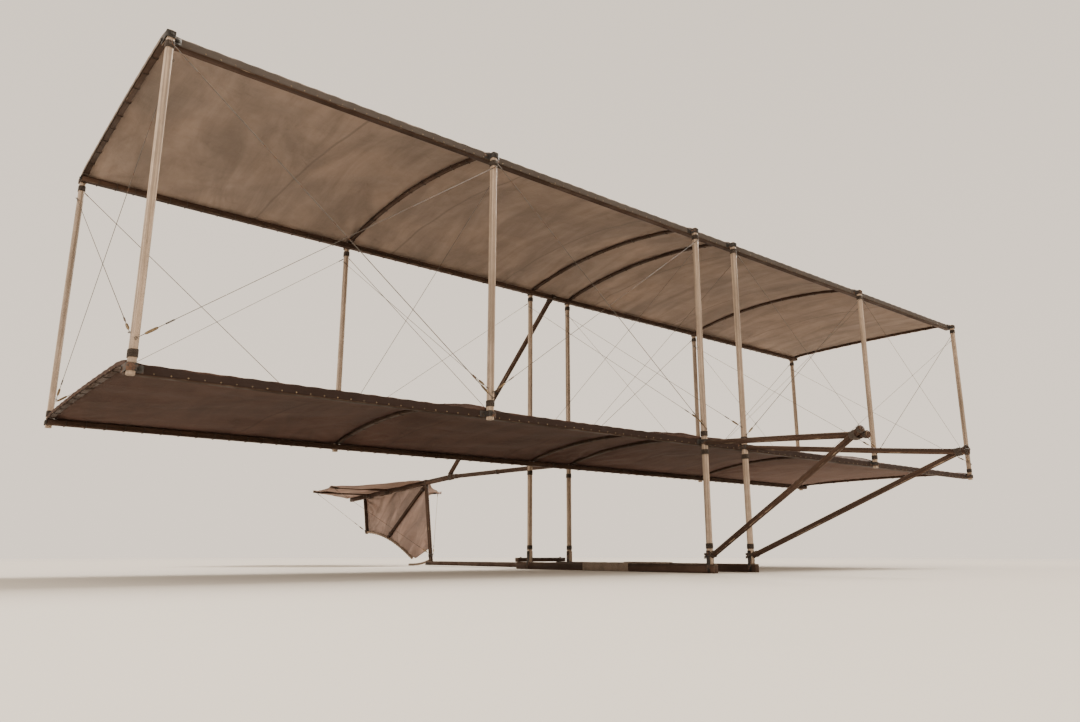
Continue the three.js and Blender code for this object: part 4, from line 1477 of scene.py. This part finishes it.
class GLIDER_OT_arm_grips(bpy.types.Operator):
    """Winds thick cord round the arm bars where the flyer's arms rest"""

    bl_idname = "glider.arm_grips"
    bl_label = "Arm grips"

    def execute(self, context):
        bars = [Stick(node) for node in ARM_BARS]
        grips = [winding(bar, bar.length * 0.37, 78, power=5.0, cord=0.0042, steps=16) for bar in bars]
        add_piece("arm_grips", joined(grips), "grip")
        return {"FINISHED"}


# Iron fittings, wires and turnbuckles

IN_AXIS = 0.0001
HEX_BOLT = [(IN_AXIS, -0.0006), (0.0052, -0.0006), (0.0052, 0.0026), (0.0042, 0.0036), (IN_AXIS, 0.0036)]
WASHER = [(IN_AXIS, -0.0008), (0.0068, -0.0008), (0.0068, 0.0001), (0.0064, 0.0005), (IN_AXIS, 0.0005)]
BARREL = [(IN_AXIS, 0.0), (0.0011, 0.0), (0.0011, 0.014), (0.0032, 0.017), (0.0042, 0.022),
          (0.0046, 0.036), (0.0042, 0.05), (0.0032, 0.055), (0.0011, 0.058), (0.0011, 0.072),
          (IN_AXIS, 0.072)]
COILS = [(0.0027 if step % 2 else 0.0021, 0.002 + step * 0.002) for step in range(14)]
SPLICE = [(IN_AXIS, 0), (0.0024, 0.001), *COILS, (IN_AXIS, 0.032)]
TACK = [(IN_AXIS, -0.0004), (0.0025, 0.0), (0.0021, 0.0006), (0.0011, 0.0012), (IN_AXIS, 0.0014)]
WIRE_RADIUS = 0.0011
BOLT_SEAT = 0.0016
STRAP_BEND = 0.003
STRAP_THICK, PLATE_THICK, PLATE_WIDE = 0.0018, 0.002, 0.021
STRAP_OFF, PLATE_OFF = 0.0011, 0.0013
BAR_HALF_WIDE = 0.015
ON_SPAR = {"front": WING_FRONT - 0.0039, "rear": WING_REAR + 0.0012}
OUT_OF = {"front": -1, "rear": 1}


def standing_at(row, station):
    side, place = station.split("_")
    return STANDING[f"{row}_{'post' if place == 'centre' else 'strut'}_{side}_{place}"]


class GLIDER_OT_straps(bpy.types.Operator):
    """Bends an iron strap round each upright at each spar, and bolts it on with hexagonal bolts"""

    bl_idname = "glider.straps"
    bl_label = "Straps and bolts"

    def execute(self, context):
        made = [self.strap(wing, row, x, standing_at(row, station))
                for wing in WINGS for row in ROWS for x, station in zip(RIB_X, STATIONS)]
        made += [self.foot_plate(STANDING[f"{row}_post_{side}_centre"], sign)
                 for row in ROWS for side in SIDES for sign in (-1, 1)]
        bolts = [bolt for _, bolts in made for bolt in bolts]
        _, bar_y, _ = middle("rear_cross_bar")
        top = box("rear_cross_bar")[1][2] + 0.0008
        bolts += [((middle(node)[0], bar_y, top), Z) for node in ARM_BARS]
        places, axes = zip(*bolts)
        add_piece("straps", joined([strap for strap, _ in made]), "iron")
        heads = [copies(lathe(HEX_BOLT, 6), places, axes), copies(lathe(WASHER, 16), places, axes)]
        add_piece("bolts", joined(heads), "iron", smooth=False)
        return {"FINISHED"}

    def strap(self, wing, row, x, upright):
        """A strap along the spar, round the upright's outer face and back to the spar, with its bolts.

        At a wing tip it turns in over the spar's end instead.
        """
        out = OUT_OF[row]
        low, high = SPAR[wing][row]
        z = (low[2] + high[2]) / 2
        half, flange = upright.wide / 2 + STRAP_OFF, 0.024
        inner = ON_SPAR[row]
        outer = upright.start[1] + out * (upright.deep / 2 + STRAP_OFF)
        halves, bolts = [], []
        for sign in (-1, 1):
            if HALF_SPAN - sign * x < 0.02:
                end = sign * (HALF_SPAN + 0.003)
                halves.append([(end, inner - out * 0.034, z), (end, outer, z)])
                bolts.append(((end + sign * BOLT_SEAT, inner - out * 0.022, z), X * sign))
            else:
                edge = x + sign * half
                halves.append([(edge + sign * flange, inner, z), (edge, inner, z), (edge, outer, z)])
                bolts.append(((edge + sign * flange * 0.55, inner + out * BOLT_SEAT, z), Y * out))
        bolts.append(((x, outer + out * BOLT_SEAT, z), Y * out))
        path = rounded(halves[0] + halves[1][::-1], STRAP_BEND)
        return sweep(path, Z, STRAP_THICK, high[2] - low[2] - 0.006, SHARP, 12), bolts

    def foot_plate(self, post, sign):
        """A plate that joins a post's side to the arm bar under it, with its bolts."""
        x, y, bar_top = post.start
        on_bar = x + sign * (BAR_HALF_WIDE + PLATE_OFF)
        on_post = x + sign * (post.wide / 2 + PLATE_OFF)
        path = [(on_bar, y, 0.005), (on_bar, y, bar_top - 0.004), (on_post, y, bar_top + 0.004),
                (on_post, y, bar_top + 0.062)]
        bolts = [((on_bar + sign * BOLT_SEAT, y, bar_top * 0.45), X * sign),
                 ((on_post + sign * BOLT_SEAT, y, bar_top + 0.05), X * sign)]
        return sweep(rounded(path, STRAP_BEND), Y, PLATE_THICK, PLATE_WIDE, SHARP, 12), bolts


class GLIDER_OT_wires(bpy.types.Operator):
    """Strings the landing, incidence and tail wires, and fits every wire with eyes and a turnbuckle"""

    bl_idname = "glider.wires"
    bl_label = "Wires and turnbuckles"

    def execute(self, context):
        stays = [Stick(name, Y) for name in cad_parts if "_stay_" in name]
        runs = [self.upward(stay.start, stay.end) for stay in stays]
        added = [self.landing(*run) for run in runs] + self.incidence() + self.tail()
        wires = [tube(np.array(run), WIRE_RADIUS, self.across(*run)) for run in added]
        add_piece("bracing_wires", joined(wires), "wire")
        self.fit(runs + added)
        return {"FINISHED"}

    def upward(self, start, end):
        return (start, end) if start[2] < end[2] else (end, start)

    def across(self, start, end):
        """A direction that a wire doesn't run along."""
        return Y if abs(unit(end - start)[1]) < 0.9 else X

    def landing(self, low, high):
        """A wire that crosses a bay's main stay, from the outer upright's foot to the inner one's head."""
        y = low[1] + math.copysign(0.0032, low[1] - WING_MIDDLE)
        return np.array([high[0], y, low[2] + 0.022]), np.array([low[0], y, high[2] - 0.022])

    def incidence(self):
        """Two wires cross at each station, on either side of its front and rear uprights."""
        runs = []
        low, high = WING_Z["lower"] + 0.085, WING_Z["upper"] - 0.095
        for x, station in zip(RIB_X, STATIONS):
            front, rear = [standing_at(row, station) for row in ROWS]
            for sign, foot, head in ((-1, front, rear), (1, rear, front)):
                beside = x + sign * (front.wide / 2 + 2 * WIRE_RADIUS)
                start, end = (beside, foot.start[1], low), (beside, head.start[1], high)
                runs.append((np.array(start), np.array(end)))
        return runs

    def tail(self):
        """From the fin's foot and its rear post up to the ends of the cross spars."""
        runs = []
        for row, height in (("front", 0.075), ("rear", 0.02)):
            post, spar = stick_of(f"fin_{row}_post"), stick_of(f"tail_{row}_cross_spar")
            foot, _ = self.upward(post.start, post.end)
            for sign, share in ((-1, 0.03), (1, 0.97)):
                tip = spar.at(share) - Z * (spar.wide / 2 + 0.002)
                runs.append((foot + X * sign * 0.014 + Z * height, tip))
        return runs

    def fit(self, runs):
        """An eye at both ends of each wire, a splice beside each, and a turnbuckle at the lower end."""
        starts, ends = np.array(runs).transpose(1, 0, 2)
        along = unit(ends - starts)
        ring = ring_surface(0.0045, WIRE_RADIUS, 12, 5)
        flat = unit(np.cross(along, X + 0.3 * Z))
        splice = lathe(SPLICE, 8)
        fittings = [copies(ring, starts, flat), copies(ring, ends, flat)]
        fittings += [copies(splice, ends - along * 0.04, along)]
        fittings += [copies(splice, starts + along * 0.092, along)]
        add_piece("wire_eyes", joined(fittings), "wire")
        barrels = copies(lathe(BARREL, 10), starts + along * 0.012, along)
        add_piece("turnbuckles", barrels, "brass")


class GLIDER_OT_tacks(bpy.types.Operator):
    """Drives brass tacks through the front hems, along the tail's sticks and along the fin's"""

    bl_idname = "glider.tacks"
    bl_label = "Tacks"

    def execute(self, context):
        cloth = context.scene.glider_cloth
        hem = np.arange(-HALF_SPAN + 0.03, HALF_SPAN - 0.02, 0.048)
        hem = hem[np.abs(hem[:, None] - RIB_X).min(1) > 0.036]
        tip_y = np.arange(WING_FRONT + 0.07, WING_REAR - 0.05, 0.06)
        tip_x = HALF_SPAN + 0.0007 + cloth.thickness
        for wing in WINGS:
            hem_z = SPAR[wing]["front"][0][2] + 0.0065
            tip_z = WING_Z[wing] + arch(tip_y, CAMBER[0]) + RIB_HIGH * 0.3
            rows = [(table_of(hem, HEM_FACE - cloth.thickness, hem_z), -Y)]
            rows += [(table_of(sign * tip_x, tip_y, tip_z), X * sign) for sign in (-1, 1)]
            self.add_tacks(f"{wing}_hem_tacks", rows)
        self.add_tacks("tail_tacks", self.tail_rows(cloth.thickness + 0.0012))
        return {"FINISHED"}

    def add_tacks(self, name, rows):
        dome = lathe(TACK, 9)
        tacks = joined([copies(dome, places, axis) for places, axis in rows])
        add_piece(name, tacks, "brass")

    def tail_rows(self, rise):
        """Rows along the middle of each stick that carries the tail's or the fin's cloth."""
        rows = [self.row(KEEL, 0.38, 0.01, TAIL_UP * (KEEL.deep / 2 + rise))]
        for spar in map(stick_of, TAIL_SPARS):
            rows.append(self.row(spar, 0.012, 0.01, TAIL_UP * (spar.wide / 2 + rise)))
        for node, first in zip(FIN_STICKS, (0.14, 0.03, 0.03)):
            stick = Stick(node)
            rows.append(self.row(stick, first, 0.02, X * (stick.wide / 2 + rise)))
        return rows

    def row(self, stick, first, last, offset):
        """Places at an even pitch, from first past the stick's start to last before its end."""
        along = np.arange(first, stick.length - last, 0.05)
        return stick.start + along[:, None] * stick.axis + offset, offset


# Stage

FLOOR_HALF = 120.0
FLOOR_CORNERS = [(x * FLOOR_HALF, y * FLOOR_HALF, 0) for x, y in ((-1, -1), (1, -1), (1, 1), (-1, 1))]


class GLIDER_OT_stage(bpy.types.Operator):
    """Sets up the pale floor, the soft light and the camera at floor level"""

    bl_idname = "glider.stage"
    bl_label = "Stage"

    def execute(self, context):
        scene = context.scene
        self.add_camera(scene, scene.glider_stage)
        self.add_floor(scene, scene.glider_colours)
        self.add_light(scene, scene.glider_colours)
        return {"FINISHED"}

    def aim(self, scene, name, data, place, target):
        """Adds an object that looks from a place at a target."""
        looker = bpy.data.objects.new(name, data)
        looker.location = place
        looker.rotation_mode = "QUATERNION"
        looker.rotation_quaternion = (target - place).to_track_quat("-Z", "Y")
        scene.collection.objects.link(looker)
        return looker

    def add_camera(self, scene, stage):
        turn = math.radians(stage.azimuth)
        back = Vector((math.sin(turn), -math.cos(turn), 0))
        right = Vector((math.cos(turn), math.sin(turn), 0))
        lens = bpy.data.cameras.new("Camera")
        lens.lens, lens.clip_start = stage.lens, 0.02
        place = back * stage.distance + Vector((0, 0, stage.height))
        scene.camera = self.aim(scene, "Camera", lens, place,
                                right * stage.aim_across + Vector((0, 0, stage.aim_height)))

    def add_floor(self, scene, colours):
        """A floor that clears away with the distance, and can't be seen from below."""
        mesh = bpy.data.meshes.new("floor")
        mesh.from_pydata(FLOOR_CORNERS, [], [(0, 1, 2, 3)])
        f = Finish("Studio floor", roughness=1.0, gloss=0.0)
        clouds, _ = f.group("blotch", f.place, scale=0.8)
        f.colour(f.mix(clouds * 0.12, colours.floor, shade(colours.floor, 0.85)))
        behind = f.add("NewGeometry", output="Backfacing")
        away = f.add("VectorMath", f.place, operation="LENGTH", output="Value")
        f.blend_with(f.add("BsdfTransparent"), f.math("MAXIMUM", behind, f.between(away, 4.0, 16.0)))
        mesh.materials.append(f.material)
        floor = bpy.data.objects.new("floor", mesh)
        scene.collection.objects.link(floor)

    def add_light(self, scene, colours):
        """An even surround that is a little darker overhead, a low sun, and a soft lamp near the front."""
        world = bpy.data.worlds.new("Surround")
        world.use_nodes = True
        background = world.node_tree.nodes["Background"]
        n = Nodes(world.node_tree)
        up = n.between(n.parts(n.add("TexCoord", output="Generated"))[2], 0.0, 0.9)
        n.feed(background.inputs["Color"], n.mix(up, colours.sky, shade(colours.sky, 0.86)))
        background.inputs["Strength"].default_value = 1.5
        scene.world = world
        key = self.add_lamp(scene, "key", "SUN", Vector((8.0, 0.8, 6.2)), Vector((0, 0, 1.0)))
        key.energy, key.angle = 7.6, math.radians(21)
        fill = self.add_lamp(scene, "low_front", "AREA", Vector((-7.0, -3.0, 2.4)), Vector((0, -0.8, 1.2)))
        fill.energy, fill.size = 160, 2.5

    def add_lamp(self, scene, name, kind, place, target):
        light = bpy.data.lights.new(name, kind)
        light.color = (1.0, 0.95, 0.88)
        self.aim(scene, name, light, place, target).visible_camera = False
        return light


class GLIDER_PT_sidebar(bpy.types.Panel):
    bl_label = "Hang glider"
    bl_idname = "GLIDER_PT_sidebar"
    bl_space_type = "VIEW_3D"
    bl_region_type = "UI"
    bl_category = "Glider"

    def draw(self, context):
        for group in GROUPED:
            owner, column = getattr(context.scene, group), self.layout.column()
            for key in owner.__annotations__:
                column.prop(owner, key)
        for operator in OPERATORS:
            self.layout.operator(operator.bl_idname)


GROUPED = {"glider_colours": GliderColours, "glider_cloth": GliderCloth, "glider_stage": GliderStage}
OPERATORS = (
    GLIDER_OT_stage,
    GLIDER_OT_other_nodes,
    GLIDER_OT_sticks,
    GLIDER_OT_ribs,
    GLIDER_OT_wing_cloths,
    GLIDER_OT_tail_cloth,
    GLIDER_OT_fin_cloth,
    GLIDER_OT_canes,
    GLIDER_OT_strut_bindings,
    GLIDER_OT_rib_ties,
    GLIDER_OT_rib_tapes,
    GLIDER_OT_rear_lacing,
    GLIDER_OT_tacks,
    GLIDER_OT_lashings,
    GLIDER_OT_arm_grips,
    GLIDER_OT_straps,
    GLIDER_OT_wires,
)


def register():
    for owner in (*GROUPED.values(), *OPERATORS, GLIDER_PT_sidebar):
        bpy.utils.register_class(owner)
    for key, owner in GROUPED.items():
        setattr(bpy.types.Scene, key, PointerProperty(type=owner))


def unregister():
    for key in GROUPED:
        delattr(bpy.types.Scene, key)
    for owner in reversed((*GROUPED.values(), *OPERATORS, GLIDER_PT_sidebar)):
        bpy.utils.unregister_class(owner)


def main():
    register()
    make_groups()
    make_finishes(bpy.context.scene.glider_colours)
    for operator in OPERATORS:
        group, name = operator.bl_idname.split(".")
        getattr(getattr(bpy.ops, group), name)()


if __name__ == "__main__":
    main()
